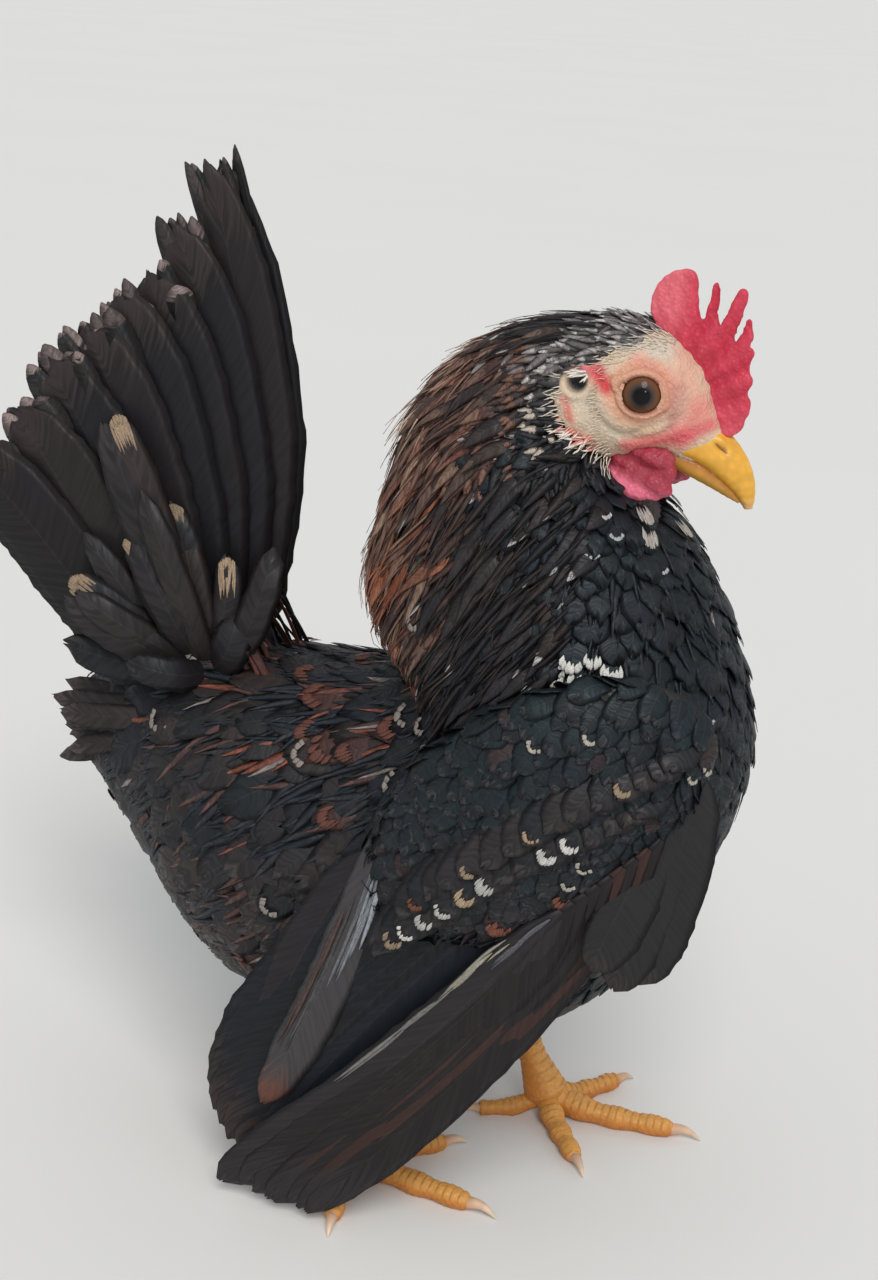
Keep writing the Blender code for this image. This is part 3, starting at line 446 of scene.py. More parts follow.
class Plumage:
    """Feathers of one kind, gathered into one mesh. Each is a thin closed blade: a ring of points at each of
    its stations, with the places in `across` from edge to edge on its upper face."""

    def __init__(self, across):
        self.spread = np.array(across, float)
        self.points, self.faces, self.vane, self.bake, self.tint, self.tip = [], [], [], [], [], []
        self.count = 0

    def add(self, centres, ways, half, tint, tip, bake, thick, camber, ragged=0.0, wavy=0.0, chance=None,
            shaft=0.0, lead=0.0, steps=None):
        """centres and ways are (feather, station, 3), half is (feather, station), tint and tip are a colour
        and a fourth value for each feather. bake is the place of each root on the unwrapped skin, and None
        gives each feather a column of the map for itself."""
        n, stations, _ = centres.shape
        a = self.spread
        across = len(a)
        t = np.linspace(0, 1, stations) if steps is None else steps
        along = unit(np.gradient(centres, axis=1))
        side = unit(np.cross(along, ways))
        face = np.cross(side, along)
        ring_a = np.concatenate((a, a[-2:0:-1]))
        upper = np.concatenate((np.ones(across), -np.ones(across - 2)))
        swell = np.sqrt(np.clip(1 - ring_a ** 2, 0, 1))
        reach = half[:, :, None] * (ring_a + lead * (1 - np.abs(ring_a)))
        lift = camber * half[:, :, None] * (1 - ring_a ** 2) + upper * swell * thick / 2
        lift = lift + shaft * np.exp(-(ring_a / 0.1) ** 2) * upper * (1 - t[:, None] * 0.75)
        slip = np.zeros((n, stations, len(ring_a)))
        if chance is not None and (ragged or wavy):
            noise = chance.uniform(-1, 1, (n, 1, across)) * ragged * half.max(axis=1)[:, None, None]
            noise = noise * smooth_step(0.45, 1, t)[None, :, None]
            slip = noise[:, :, np.concatenate((np.arange(across), np.arange(across - 2, 0, -1)))]
            edge = chance.uniform(-1, 1, (n, stations, 2)) * wavy
            rim = np.where(ring_a < 0, edge[:, :, :1], edge[:, :, 1:]) * np.abs(ring_a) ** 3
            reach = reach * (1 + rim)
        points = (
            centres[:, :, None] + side[:, :, None] * reach[..., None] + face[:, :, None] * lift[..., None]
            + along[:, :, None] * slip[..., None]
        )
        ring = len(ring_a)
        quads, first, last = ring_faces(stations, ring)
        each = stations * ring
        step = (np.arange(n) * each)[:, None, None] + self.count
        self.faces.append([(f[None] + step).reshape(-1, f.shape[1]) for f in (quads, first, last)])
        self.points.append(points.reshape(-1, 3))
        vane = np.stack(np.broadcast_arrays((ring_a + 1) / 2, t[:, None]), -1)
        vane = np.broadcast_to(vane, (n, stations, ring, 2))
        self.vane.append(vane.reshape(-1, 2))
        if bake is None:
            column = (np.arange(n)[:, None, None] + 0.05 + 0.9 * vane[..., 0]) / n
            self.bake.append(np.stack((column, 0.02 + 0.96 * vane[..., 1]), -1).reshape(-1, 2))
        else:
            patch = bake[:, None, None] * 0.96 + 0.02 + (vane - 0.5) * 0.003
            self.bake.append(patch.reshape(-1, 2))
        self.tint.append(np.repeat(tint, each, axis=0))
        self.tip.append(np.repeat(tip, each, axis=0))
        self.count += n * each

    def build(self, name, material, slot, replaced):
        joined = [np.concatenate([f[k] for f in self.faces]) for k in range(3)]
        make_piece(
            name, np.concatenate(self.points), joined, material, slot, replaced,
            {"OFBake": np.concatenate(self.bake), "Vane": np.concatenate(self.vane)},
            {"Tint": np.concatenate(self.tint), "Tip": np.concatenate(self.tip)},
        )


BROAD = (-1, -0.55, 0, 0.55, 1)
TORN = (-1, -0.68, -0.34, 0, 0.34, 0.68, 1)
NARROW = (-1, 0, 1)
QUILL_SPREAD = (-1, -0.72, -0.4, -0.1, 0, 0.1, 0.4, 0.72, 1)
BODY_STEPS = np.array((0, 0.24, 0.48, 0.68, 0.84, 0.95, 1.0))
BODY_SHAPE = np.array((0.5, 0.85, 1.0, 0.99, 0.84, 0.52, 0.14))
LANCE_STEPS = even(9)
LANCE_SHAPE = np.interp(LANCE_STEPS, even(7), (0.5, 0.85, 1.0, 0.9, 0.7, 0.42, 0.1))
SLIVER_SHAPE = np.array((0.7, 1.0, 0.85, 0.5, 0.08))
CROWN_SHAPE = np.array((0.6, 1, 0.95, 0.7, 0.2))
BRISTLE_SHAPE = np.array((0.8, 1, 0.7, 0.15))
CHEEK_SHAPE = np.array((1.0, 1.0, 0.9, 0.7, 0.15))
BARB_SHAPE = np.array((0.1, 0.6, 1.0, 0.9, 0.4))


def with_seed(colour, chance):
    """Colours with a random fourth value that tells one feather's barbs from the next one's."""
    return np.concatenate((colour, chance.random((len(colour), 1))), axis=1)


def with_value(colour, value):
    """Colours with a fourth value, the same for all or one for each."""
    return np.concatenate((colour, np.broadcast_to(value, (len(colour), 1))), axis=1)


def bake_row(count):
    """Places side by side on the coat's map, for feathers that stand in a row."""
    return np.stack((even(count) * 0.9 + 0.05, np.full(count, 0.5)), -1)


def varied(colour, share, chance):
    """Colours, each made lighter or darker by up to this share."""
    return np.asarray(colour) * (1 + chance.uniform(-share, share, (len(colour), 1)))


def add_marks(coat, centres, ways, half, colours, reach, spots, chance, strands=7):
    """Short bright barbs fanned over the ends of feathers: their pale tips, and painted glints."""
    n, stations = len(centres), len(BARB_SHAPE)
    if n == 0:
        return
    along = unit(centres[:, -1] - centres[:, -3])
    way = unit(ways[:, -2])
    across = unit(np.cross(along, way))
    wide = half.max(axis=1)
    s = even(stations)[None, :, None]
    for j in range(strands):
        off = 0.66 * (2 * (j + 0.5) / strands - 1) + chance.normal(0, 0.05, n)
        end = centres[:, -1] - along * (off ** 2 * wide * 0.95)[:, None]
        end = end + across * (off * wide * 0.90)[:, None]
        length = reach * chance.uniform(0.75, 1.2, n)
        start = end - along * length[:, None] - across * (off * wide * 0.10)[:, None]
        crown = (0.22 * (1 - off ** 2) * wide)[:, None, None] * (1 - 0.55 * s ** 2)
        path = start[:, None] + (end - start)[:, None] * s + way[:, None] * (0.14 + 0.10 * s + crown)
        size = (wide * chance.uniform(0.9, 1.4, n) / strands)[:, None] * BARB_SHAPE
        tint = with_seed(varied(colours, 0.12, chance), chance)
        coat.add(path, np.repeat(way[:, None], stations, axis=1), size, tint, with_value(tint[:, :3], 0.0),
                 spots, thick=0.10, camber=0.1)


# The spine, from the rump up the neck and along the skull, gives each place its share of the coat's map.

TRUNK_STEPS = 120
SKULL_STEPS = 50


def spine_frames():
    """Centres along the spine, the ways ahead of and over each, and the body's half width there."""
    skull = on_curve(SKULL, np.linspace(0.1, 1, SKULL_STEPS))
    rows = np.concatenate((on_curve(TRUNK, even(TRUNK_STEPS)), skull))
    lean = np.radians(rows[:, 2])
    zero = np.zeros(len(rows))
    centres = np.stack((rows[:, 0], zero, rows[:, 1]), -1)
    ahead = np.stack((np.cos(lean), zero, np.sin(lean)), -1)
    over = np.stack((-np.sin(lean), zero, np.cos(lean)), -1)
    return centres, ahead, over, rows[:, 5]


SPINE, SPINE_AHEAD, SPINE_OVER, SPINE_HALF = spine_frames()


def nearest_spine(places):
    gap = places[:, None] - SPINE[None]
    off_plane = np.abs(np.sum(gap * SPINE_AHEAD[None], axis=-1))
    return np.argmin(np.linalg.norm(gap, axis=-1) / SPINE_HALF + off_plane * 0.12, axis=1)


def from_spine(places):
    """The nearest station of the spine, how far places are from it, and how far over it."""
    i = nearest_spine(places)
    gap = places - SPINE[i]
    return i, gap, np.sum(gap * SPINE_OVER[i], axis=-1)


def unwrapped(places):
    """Where places lie on a map of the skin: round the spine and along it."""
    i, gap, rise = from_spine(places)
    return np.stack((np.arctan2(rise, gap[:, 1]) / (2 * np.pi) % 1.0, i / len(SPINE)), -1)


def body_lie(places, ways):
    """The way the coat lies: back from the bill, down the neck, back along the body and up at the stern."""
    i = nearest_spine(places)
    flow = -SPINE_AHEAD[i]
    flank = smooth_step(3, 22, np.abs(places[:, 1])) * smooth_step(20, -30, places[:, 0])
    flow = flow + np.array((0, 0, -0.8)) * flank[:, None] * smooth_step(126, 112, places[:, 2])[:, None]
    head = smooth_step(158, 168, places[:, 2])[:, None]
    behind = np.clip((2 - places[:, :1]) / 8, 0, 3)
    over_head = np.concatenate((-np.ones_like(behind), np.zeros_like(behind), -0.3 - behind), axis=1)
    flow = flow * (1 - head) + over_head * head
    stern = (smooth_step(-66, -84, places[:, 0]) * (places[:, 2] > 92) * 0.9)[:, None]
    return unit(flow + np.array((0, 0, 0.6)) * stern)


def leg_lie(places, ways):
    return np.broadcast_to(np.array((-0.25, 0, -1.0)), places.shape)


# Forms of flesh

THIGH_RINGS, THIGH_SIDES = 20, 24
STUMP_RINGS, STUMP_SIDES = 18, 32


def thigh_grid(side, depth):
    hip, hock = np.array(HIPS[side]), np.array(HOCKS[side])
    t = even(THIGH_RINGS)
    radii = np.interp(t, (0, 0.35, 0.7, 0.9, 1.0), (13, 12.5, 9.0, 5.8, 4.0)) - depth
    rings, _, _ = tube_rings(hip + (hock - hip) * t[:, None], radii, THIGH_SIDES)
    return rings.reshape(-1, 3), ring_faces(THIGH_RINGS, THIGH_SIDES)


def stump_grid(depth):
    """The root of the tail."""
    rows = on_curve(STUMP, even(STUMP_RINGS))
    turn = 2 * np.pi * np.arange(STUMP_SIDES) / STUMP_SIDES
    x = rows[:, :1] + (rows[:, 2:3] - depth * (rows[:, 2:3] > 5)) * np.cos(turn)
    y = (rows[:, 3:4] - depth * (rows[:, 3:4] > 3)) * np.sin(turn)
    z = np.repeat(rows[:, 1:2], STUMP_SIDES, axis=1)
    return np.stack((x, y, z), -1).reshape(-1, 3), ring_faces(STUMP_RINGS, STUMP_SIDES)


def body_parts(depth, leg_depth):
    return [
        loft_grid(TRUNK, 90, 72, depth), stump_grid(min(depth, 2)),
        thigh_grid("right", leg_depth), thigh_grid("left", leg_depth),
    ]


def wing_y(x):
    return SHIELD_Y - SHIELD_BEND * np.maximum(0.0, np.asarray(x, float) - 4) ** 2


def shield_grid(side, depth=0.0):
    """The feathered shoulder: an egg laid along the wing, bent to the body."""
    slope = math.radians(SHIELD_SLOPE)
    points, faces = egg_grid(np.zeros(3), (1, 1, 1), 28, 48)
    run, rise = points[:, 0] * (SHIELD_HALF[0] - depth), points[:, 2] * (SHIELD_HALF[1] - depth)
    x = SHIELD_CENTRE[0] + run * math.cos(slope) - rise * math.sin(slope) + WING_SLIDE[side]
    z = SHIELD_CENTRE[1] + run * math.sin(slope) + rise * math.cos(slope)
    y = side_sign(side) * wing_y(x) + points[:, 1] * (SHIELD_HALF_DEPTH - depth)
    return np.stack((x, y, z), -1), faces


def under_wing(places):
    """True where the feathered shoulder covers the body, but for a band inside its rim."""
    slope = math.radians(SHIELD_SLOPE)
    hidden = np.zeros(len(places), bool)
    for side in SIDES:
        x = places[:, 0] - SHIELD_CENTRE[0] - WING_SLIDE[side]
        z = places[:, 2] - SHIELD_CENTRE[1]
        run = (x * math.cos(slope) + z * math.sin(slope)) / (SHIELD_HALF[0] - SHIELD_RIM)
        rise = (z * math.cos(slope) - x * math.sin(slope)) / (SHIELD_HALF[1] - SHIELD_RIM)
        hidden |= (run ** 2 + rise ** 2 < 1) & (places[:, 1] * side_sign(side) > 15)
    return hidden


# The face in side view: heights, how far back the bare and cream skin reaches at each, and patches of
# colour, each with its share, the two ends of the line that it lies along and its reach beside it.

FACE_HEIGHTS = (158, 163, 167, 171, 174, 178, 182, 185, 188)
FACE_BACK = (21, 17.5, 11.5, 8.6, 7.6, 8.8, 13.5, 19.5, 25)
PALE_PATCHES = (
    ((0.56, 0.47, 0.36), 0.8, (14, 174), (20, 168.5), 5.0),
    ((0.58, 0.43, 0.26), 0.55, (21, 171.5), (26, 169.5), 3.5),
    ((0.60, 0.53, 0.43), 0.9, (15, 186), (27, 184), 3.6),
)
EYE_RING = (0.66, 0.33, 0.21)
RED_PATCHES = (
    ((0.66, 0.27, 0.20), 0.7, (22, 182.4), (28.5, 179), 2.6),
    ((0.70, 0.36, 0.27), 0.75, (29, 184), (34, 172), 3.2),
    ((0.42, 0.13, 0.12), 0.60, (29.6, 177.5), (29.4, 171.0), 2.3),
    ((0.68, 0.20, 0.17), 0.75, (33.5, 174.0), (30.5, 168.0), 4.2),
    ((0.66, 0.12, 0.12), 0.9, (31.5, 169.2), (21.5, 166.2), 2.7),
    ((0.66, 0.10, 0.12), 0.8, (35.5, 171.0), (31.0, 168.5), 2.4),
    ((0.64, 0.10, 0.14), 0.9, (9.8, 180.4), (15.4, 180.0), 1.7),
    ((0.62, 0.025, 0.04), 0.97, (15.4, 179.4), (17.3, 177.2), 2.5),
    ((0.70, 0.17, 0.14), 0.85, (10.0, 174.2), (11.4, 170.8), 1.5),
    ((0.70, 0.28, 0.22), 0.6, (12, 168.5), (15.5, 166.0), 2.0),
)
EAR_HOLLOW_SHADE = (0.035, 0.038, 0.042)


def face_edge(z):
    return np.interp(z, FACE_HEIGHTS, FACE_BACK)


def on_face(places):
    """1 on the bare and cream face, 0 on the feathered head."""
    return smooth_step(-0.8, 0.8, places[..., 0] - face_edge(places[..., 2]))


def painted(colour, places, patches):
    for tone, share, start, end, reach in patches:
        colour = mix(colour, tone, share * near_line(places, start, end, reach))
    return colour


def skin_colour(places):
    """The colour of the skin: cream face, orange eye ring, red patches, painted shade in the ear."""
    colour = painted(CREAM, places, PALE_PATCHES)
    colour = mix(colour, EYE_RING, 0.85 * (1 - smooth_step(4.8, 7.6, side_gap(places, EYE_CENTRE))))
    colour = painted(colour, places, RED_PATCHES)
    # Painted shade in the hollow of the ear.
    colour = mix(colour, EAR_HOLLOW_SHADE, 1 - smooth_step(1.3, 2.3, side_gap(places, EAR)))
    return mix(DARK_SKIN, colour, on_face(places))


# Body feathers

def body_size(places):
    """How long the small feathers are at each place, in millimetres."""
    i, _, over = from_spine(places)
    station = i / TRUNK_STEPS * (len(TRUNK) - 1)
    belly = np.interp(station, (0, 2, 4, 6, 7.5, 9, 10, 11, 13), (13, 14, 12, 11, 9.5, 7.5, 6, 5, 4))
    back = np.interp(station, (0, 2, 4, 6, 8, 11), (13, 15, 14, 12, 10, 7))
    return belly + (back - belly) * smooth_step(-5, 15, over)


def body_tints(places, chance):
    """Base colours and tips of the small feathers at these places."""
    n = len(places)
    x, y, z = places.T
    # Blue and green patches in the black base colours: a painted sheen.
    gloss = 0.5 + 0.5 * np.sin(x * 0.17 + 1.7 * np.sin(z * 0.11)) * np.sin(z * 0.14 - x * 0.05)
    base = mix(BLACK, BLUE_SHEEN_BLACK, gloss * chance.random(n))
    base = mix(base, GREEN_SHEEN_BLACK, 0.75 * (1 - gloss) * chance.random(n) * smooth_step(60, 95, z))
    stern = smooth_step(0, -30, x) * smooth_step(140, 120, z)
    fluff = stern * smooth_step(86, 62, z)
    base = mix(base, DUSK_BROWN, 0.8 * stern * chance.random(n))
    base = mix(base, (0.045, 0.030, 0.028), 0.7 * fluff * chance.random(n))
    tip = np.zeros((n, 4))
    tip[:, :3] = mix((0.022, 0.022, 0.024), (0.060, 0.044, 0.040), fluff)
    tip[:, 3] = 0.10 * (chance.random(n) < 0.3 + 0.5 * fluff)
    marks = np.zeros((n, 4))
    saddle = stern * smooth_step(85, 100, z)
    fleck = chance.random(n)
    reddish = fleck < 0.10 * saddle + 0.04 * stern
    pale = (fleck > 0.955 - 0.05 * saddle) & (stern > 0.2)
    base[reddish] = mix(base[reddish], RUFOUS, 0.22)
    marks[reddish] = (0.105, 0.038, 0.026, 3.0)
    marks[pale] = (0.24, 0.205, 0.185, 1.6)
    # Grey marks on the front of the breast and neck: painted glints.
    front = (fleck < 0.05) & (x > 18) & (z > 104)
    marks[front] = (0.36, 0.36, 0.36, 0.8)
    cluster = (np.hypot(x - 22.0, z - 125.5) < 6.0) & (y < -12)
    marks[cluster & (fleck < 0.8)] = (*WHITE, 2.3)
    throat = (z > 148) & (x > 17) & (np.abs(y) < 12)
    marks[throat & (fleck < 0.6)] = (0.33, 0.30, 0.27, 3.5)
    return varied(base, 0.2, chance), tip, marks


COAT_PARTS = (
    ("coat_stern", "torso"), ("coat_middle", "torso"), ("coat_breast", "torso"), ("coat_neck", "neck"),
)


def grow_body(surface, chance):
    """The small feathers of the neck's front, breast, back, flanks and belly."""

    def kept(places, ways):
        x, _, z = places.T
        bare = (z > 168) | ((x > np.interp(z, (154, 166), (26, 15))) & (z > 154))
        return ~bare & (z >= 42) & ~under_wing(places)

    roots, ways = surface.scatter(COAT_TRIES, lambda p: body_size(p) * COAT_SPACING, kept, chance)
    n = len(roots)
    length = body_size(roots) * chance.uniform(0.85, 1.2, n)
    veer = chance.normal(0, 0.16, n)
    lift, layer = chance.uniform(-0.2, 0.4, (n, 1, 1)), chance.uniform(-0.3, 0.5, (n, 1, 1))
    paths, ups = surface.lay(
        roots, ways, body_lie, length, BODY_STEPS, veer,
        lambda t: -2.2 * (1 - t) ** 1.6 + layer * smooth_step(0, 0.35, t) + lift * t ** 2)
    wide = length * np.interp(roots[:, 0], (-30, 30), (0.30, 0.37)) * chance.uniform(0.8, 1.15, n)
    half = wide[:, None] * BODY_SHAPE
    tint, tip, marks = body_tints(paths[:, -1], chance)
    tint = with_seed(tint, chance)
    bake = unwrapped(roots)
    part = np.where(roots[:, 2] > 118, 3, np.digitize(roots[:, 0], (-48, -12)))
    for k, (name, node) in enumerate(COAT_PARTS):
        pick = part == k
        coat = Plumage(TORN)
        coat.add(*(column[pick] for column in (paths, ups, half, tint, tip, bake)), thick=0.07, camber=0.09,
                 ragged=0.50, wavy=0.10, chance=chance, steps=BODY_STEPS)
        pick = pick & (marks[:, 3] > 0)
        columns = (paths, ups, half, marks[:, :3], marks[:, 3], bake)
        add_marks(coat, *(column[pick] for column in columns), chance)
        coat.build(name, FEATHER, "plumage", (node,))


def grow_streaks(surface, chance):
    """Single long barbs and narrow feathers lying over the coat, which break its scale-like look."""

    def kept(places, ways):
        return (places[:, 2] < 150) & (places[:, 2] > 44) & (~under_wing(places))

    roots, ways = surface.scatter(
        STREAK_TRIES, lambda p: np.interp(p[:, 0], (-30, 30), (2.4, 3.0)), kept, chance)
    n = len(roots)
    size = body_size(roots)
    length = size * chance.uniform(0.7, 1.25, n)
    veer = chance.normal(0, 0.22, n)
    lift = chance.uniform(0.1, 0.8, (n, 1, 1))
    paths, ups = surface.lay(
        roots, ways, body_lie, length, even(len(SLIVER_SHAPE)), veer, lambda t: -0.6 * (1 - t) + lift * t)
    half = (size * chance.uniform(0.05, 0.12, n))[:, None] * SLIVER_SHAPE
    x, _, z = roots.T
    stern = smooth_step(0, -30, x)
    draw = chance.random(n)
    colour = mix(BLUE_SHEEN_BLACK, (0.022, 0.022, 0.025), chance.random(n))
    colour = mix(colour, BROWN, 0.7 * (draw < 0.22 * stern))
    colour = mix(colour, RUFOUS, 0.9 * (draw < 0.10 * stern * smooth_step(75, 90, z)))
    colour = mix(colour, (0.20, 0.175, 0.16), 0.8 * (draw > 0.985 - 0.02 * stern))
    tip = with_value(colour * 1.6, 0.3)
    coat = Plumage(NARROW)
    tint = with_seed(colour, chance)
    coat.add(paths, ups, half, tint, tip, unwrapped(roots), thick=0.10, camber=0.3)
    coat.build("coat_streaks", FEATHER, "plumage", ("torso",))


# Hackles

def round_neck(places):
    """How far round the neck a place is: 1 at the nape, 0 at the throat."""
    _, gap, rise = from_spine(places)
    return (np.sin(np.arctan2(rise, np.abs(gap[:, 1]))) + 1) / 2


def hackle_tints(places, chance):
    """Brown and copper at the back of the neck, black at its sides with a few painted glints."""
    n = len(places)
    x, y, z = places.T
    back = smooth_step(-2, -18, x - 0.12 * (z - 150) + chance.normal(0, 4, n))
    draw = chance.random(n)
    warm = mix(BROWN, RUFOUS, chance.random(n) ** 2)
    warm = mix(warm, STRAW, 0.6 * (draw > 0.86))
    warm = mix(warm, COPPER, 0.8 * ((draw < 0.07) | ((np.hypot(x + 20, z - 136) < 5) & (y < 0))))
    dark = mix(BLACK, DUSK_BROWN, 0.7 * chance.random(n) ** 2)
    colour = mix(dark, warm, back * (0.35 + 0.65 * chance.random(n)))
    tip = with_value(mix(colour * 1.4, STRAW, 0.22 * back), 0.2 + 0.4 * chance.random((n, 1)))
    # A few near-white tips at the sides of the neck: painted glints.
    fleck = (chance.random(n) < 0.06) & (back < 0.5)
    tip[fleck] = (0.42, 0.41, 0.39, 0.14)
    return varied(colour, 0.3, chance), tip


# Layers of hackles: tries, spacing, half width, and the shortest and longest.
HACKLE_LAYERS = {
    "hackles_under": (5000, 2.7, 1.9, (14, 22)), "hackles_over": (9000, 2.0, 1.0, (16, 26)),
    "hackles_wisps": (5000, 2.2, 0.38, (14, 27)),
}


def grow_hackles(surface, chance):
    """The long narrow feathers of the nape and neck, which fall over the shoulders like a cape."""

    def kept(places, ways):
        head = (places[:, 2] > 164) & (places[:, 0] > face_edge(places[:, 2]) - 9)
        return (places[:, 2] > 122) & (places[:, 0] < 21) & (round_neck(places) > 0.13) & ~head

    for name, (tries, gap, wide, long) in HACKLE_LAYERS.items():
        roots, ways = surface.scatter(tries, lambda p: gap, kept, chance)
        n = len(roots)
        x, y, z = roots.T
        back = round_neck(roots)
        length = chance.uniform(*long, n) * np.interp(back, (0.1, 0.5, 1), (0.5, 0.8, 1.0))
        length *= np.interp(z, (125, 150, 178), (0.8, 1.0, 0.75))
        locks = 0.30 * np.sin(z * 0.42 + y * 0.33) * np.sin(y * 0.47 - x * 0.21)
        veer = locks * smooth_step(0.3, 0.8, back) + chance.normal(0, 0.10, n)
        stand = chance.uniform(0.0, 0.9, (n, 1, 1))
        if name == "hackles_wisps":
            stand = stand + 1.8 * chance.random((n, 1, 1)) ** 3
        stand = stand * (0.4 + 0.9 * back[:, None, None])
        layer = chance.uniform(-0.5, 1.3, (n, 1, 1))
        paths, ups = surface.lay(
            roots, ways, hackle_lie, length, LANCE_STEPS, veer,
            lambda t: -1.8 * (1 - t) ** 2 + layer * smooth_step(0, 0.25, t) + stand * t ** 1.5)
        half = (wide * chance.uniform(0.7, 1.25, n))[:, None] * LANCE_SHAPE
        tint, tip = hackle_tints(paths[:, len(LANCE_STEPS) // 2], chance)
        coat = Plumage(BROAD if name == "hackles_under" else NARROW)
        coat.add(paths, ups, half, with_seed(tint, chance), tip, unwrapped(roots), thick=0.10,
                 camber=0.2, ragged=0.2, wavy=0.05, chance=chance)
        if name == "hackles_wisps":
            add_tufts(coat, surface, chance)
        coat.build(name, HACKLE, "hackle", ("neck",))


# Locks of hackle: place, number of feathers, their length, how far they stand off, and colour.
TUFTS = (
    ((-6, 4, 186), 26, 13, 3.4, (0.30, 0.19, 0.14)), ((-12, -6, 182), 22, 12, 3.0, (0.24, 0.13, 0.10)),
    ((-20, -4, 173), 10, 15, 4.4, (0.38, 0.28, 0.20)), ((-26, 5, 160), 20, 15, 3.4, (0.26, 0.12, 0.07)),
    ((-27, -8, 146), 22, 16, 4.0, (0.26, 0.15, 0.10)), ((-22, -18, 138), 22, 14, 2.4, (0.28, 0.075, 0.035)),
    ((-28, 2, 132), 20, 15, 4.5, (0.16, 0.070, 0.050)), ((-14, -24, 130), 20, 14, 2.0, (0.12, 0.045, 0.040)),
    ((-8, 8, 184), 14, 11, 3.4, (0.14, 0.08, 0.065)), ((-24, 14, 140), 20, 15, 3.0, (0.20, 0.10, 0.07)),
)


def add_tufts(coat, surface, chance):
    """Loose straw and copper locks that stand off the nape and the back of the cape."""
    for place, count, reach, rise, colour in TUFTS:
        roots, ways = surface.nearest(np.array(place, float) + chance.normal(0, 2.4, (count, 3)))
        length = reach * chance.uniform(0.7, 1.2, count)
        veer = chance.normal(0, 0.16, count) + 0.25 * chance.choice((-1, 1))
        stand = rise * chance.uniform(0.3, 1.0, (count, 1, 1))
        paths, ups = surface.lay(
            roots, ways, hackle_lie, length, LANCE_STEPS, veer,
            lambda t: -1.0 * (1 - t) ** 2 + stand * t ** 1.3)
        half = chance.uniform(0.25, 0.75, count)[:, None] * LANCE_SHAPE
        tint = varied(np.tile(colour, (count, 1)), 0.4, chance)
        tip = with_value(mix(tint, STRAW, 0.3), 0.4)
        tint = with_seed(tint, chance)
        coat.add(paths, ups, half, tint, tip, unwrapped(roots), thick=0.10, camber=0.2)


def hackle_lie(places, ways):
    flow = body_lie(places, ways)
    back = smooth_step(0.2, 0.9, round_neck(places))[:, None]
    side = smooth_step(4, 20, np.abs(places[:, 1]))[:, None]
    return unit(flow + np.array((-0.55, 0, 0)) * side * (1 - back * 0.5) + np.array((-0.12, 0, 0)))


# The head's small feathers

def grow_crown(surface, chance):
    """The tiny feathers of crown, nape and cheeks."""

    def kept(places, ways):
        x, y, z = places.T
        comb = (x > 20) & (np.abs(y) < 2.2) & (ways[:, 2] > 0.4)
        return (z > 161) & (x < face_edge(z) + 0.8) & (x > -12) & ~comb

    roots, ways = surface.scatter(
        CROWN_TRIES, lambda p: np.interp(p[:, 0], (-8, 20), (1.5, 1.05)), kept, chance)
    n = len(roots)
    length = np.interp(roots[:, 0], (-10, 4, 24), (8.5, 5.2, 3.0)) * chance.uniform(0.8, 1.2, n)
    veer = chance.normal(0, 0.3, n)
    lift = chance.uniform(0.1, 0.9, (n, 1, 1))
    paths, ups = surface.lay(
        roots, ways, body_lie, length, even(len(CROWN_SHAPE)), veer, lambda t: -0.5 * (1 - t) + lift * t)
    half = (length * 0.19)[:, None] * CROWN_SHAPE
    x, _, z = roots.T
    draw = chance.random(n)
    top = smooth_step(170, 182, z)
    colour = mix((0.018, 0.016, 0.017), (0.20, 0.18, 0.175), chance.random(n) * top)
    colour = mix(colour, BROWN, 0.8 * smooth_step(8, -4, x) * (draw < 0.7))
    front = smooth_step(4, 18, x) * top
    tip = np.zeros((n, 4))
    tip[:, :3] = mix((0.17, 0.15, 0.15), (0.55, 0.51, 0.48), chance.random(n) ** (1.5 - front))
    tip[:, 3] = np.where(chance.random(n) < 0.08 + 0.7 * top, chance.uniform(0.15, 0.5, n), 0.0)
    tip[(x < 5) & (draw < 0.6)] = (0.17, 0.085, 0.060, 0.4)
    pale = near_line(roots, (6.5, 171), (9.5, 166), 3.0) > 0.3
    tip[pale & (draw < 0.35)] = (0.45, 0.38, 0.31, 0.5)
    tint = with_seed(varied(colour, 0.3, chance), chance)
    coat = Plumage(NARROW)
    coat.add(paths, ups, half, tint, tip, unwrapped(roots), thick=0.1, camber=0.3)
    coat.build("head_feathers", FEATHER, "plumage", ("head",))


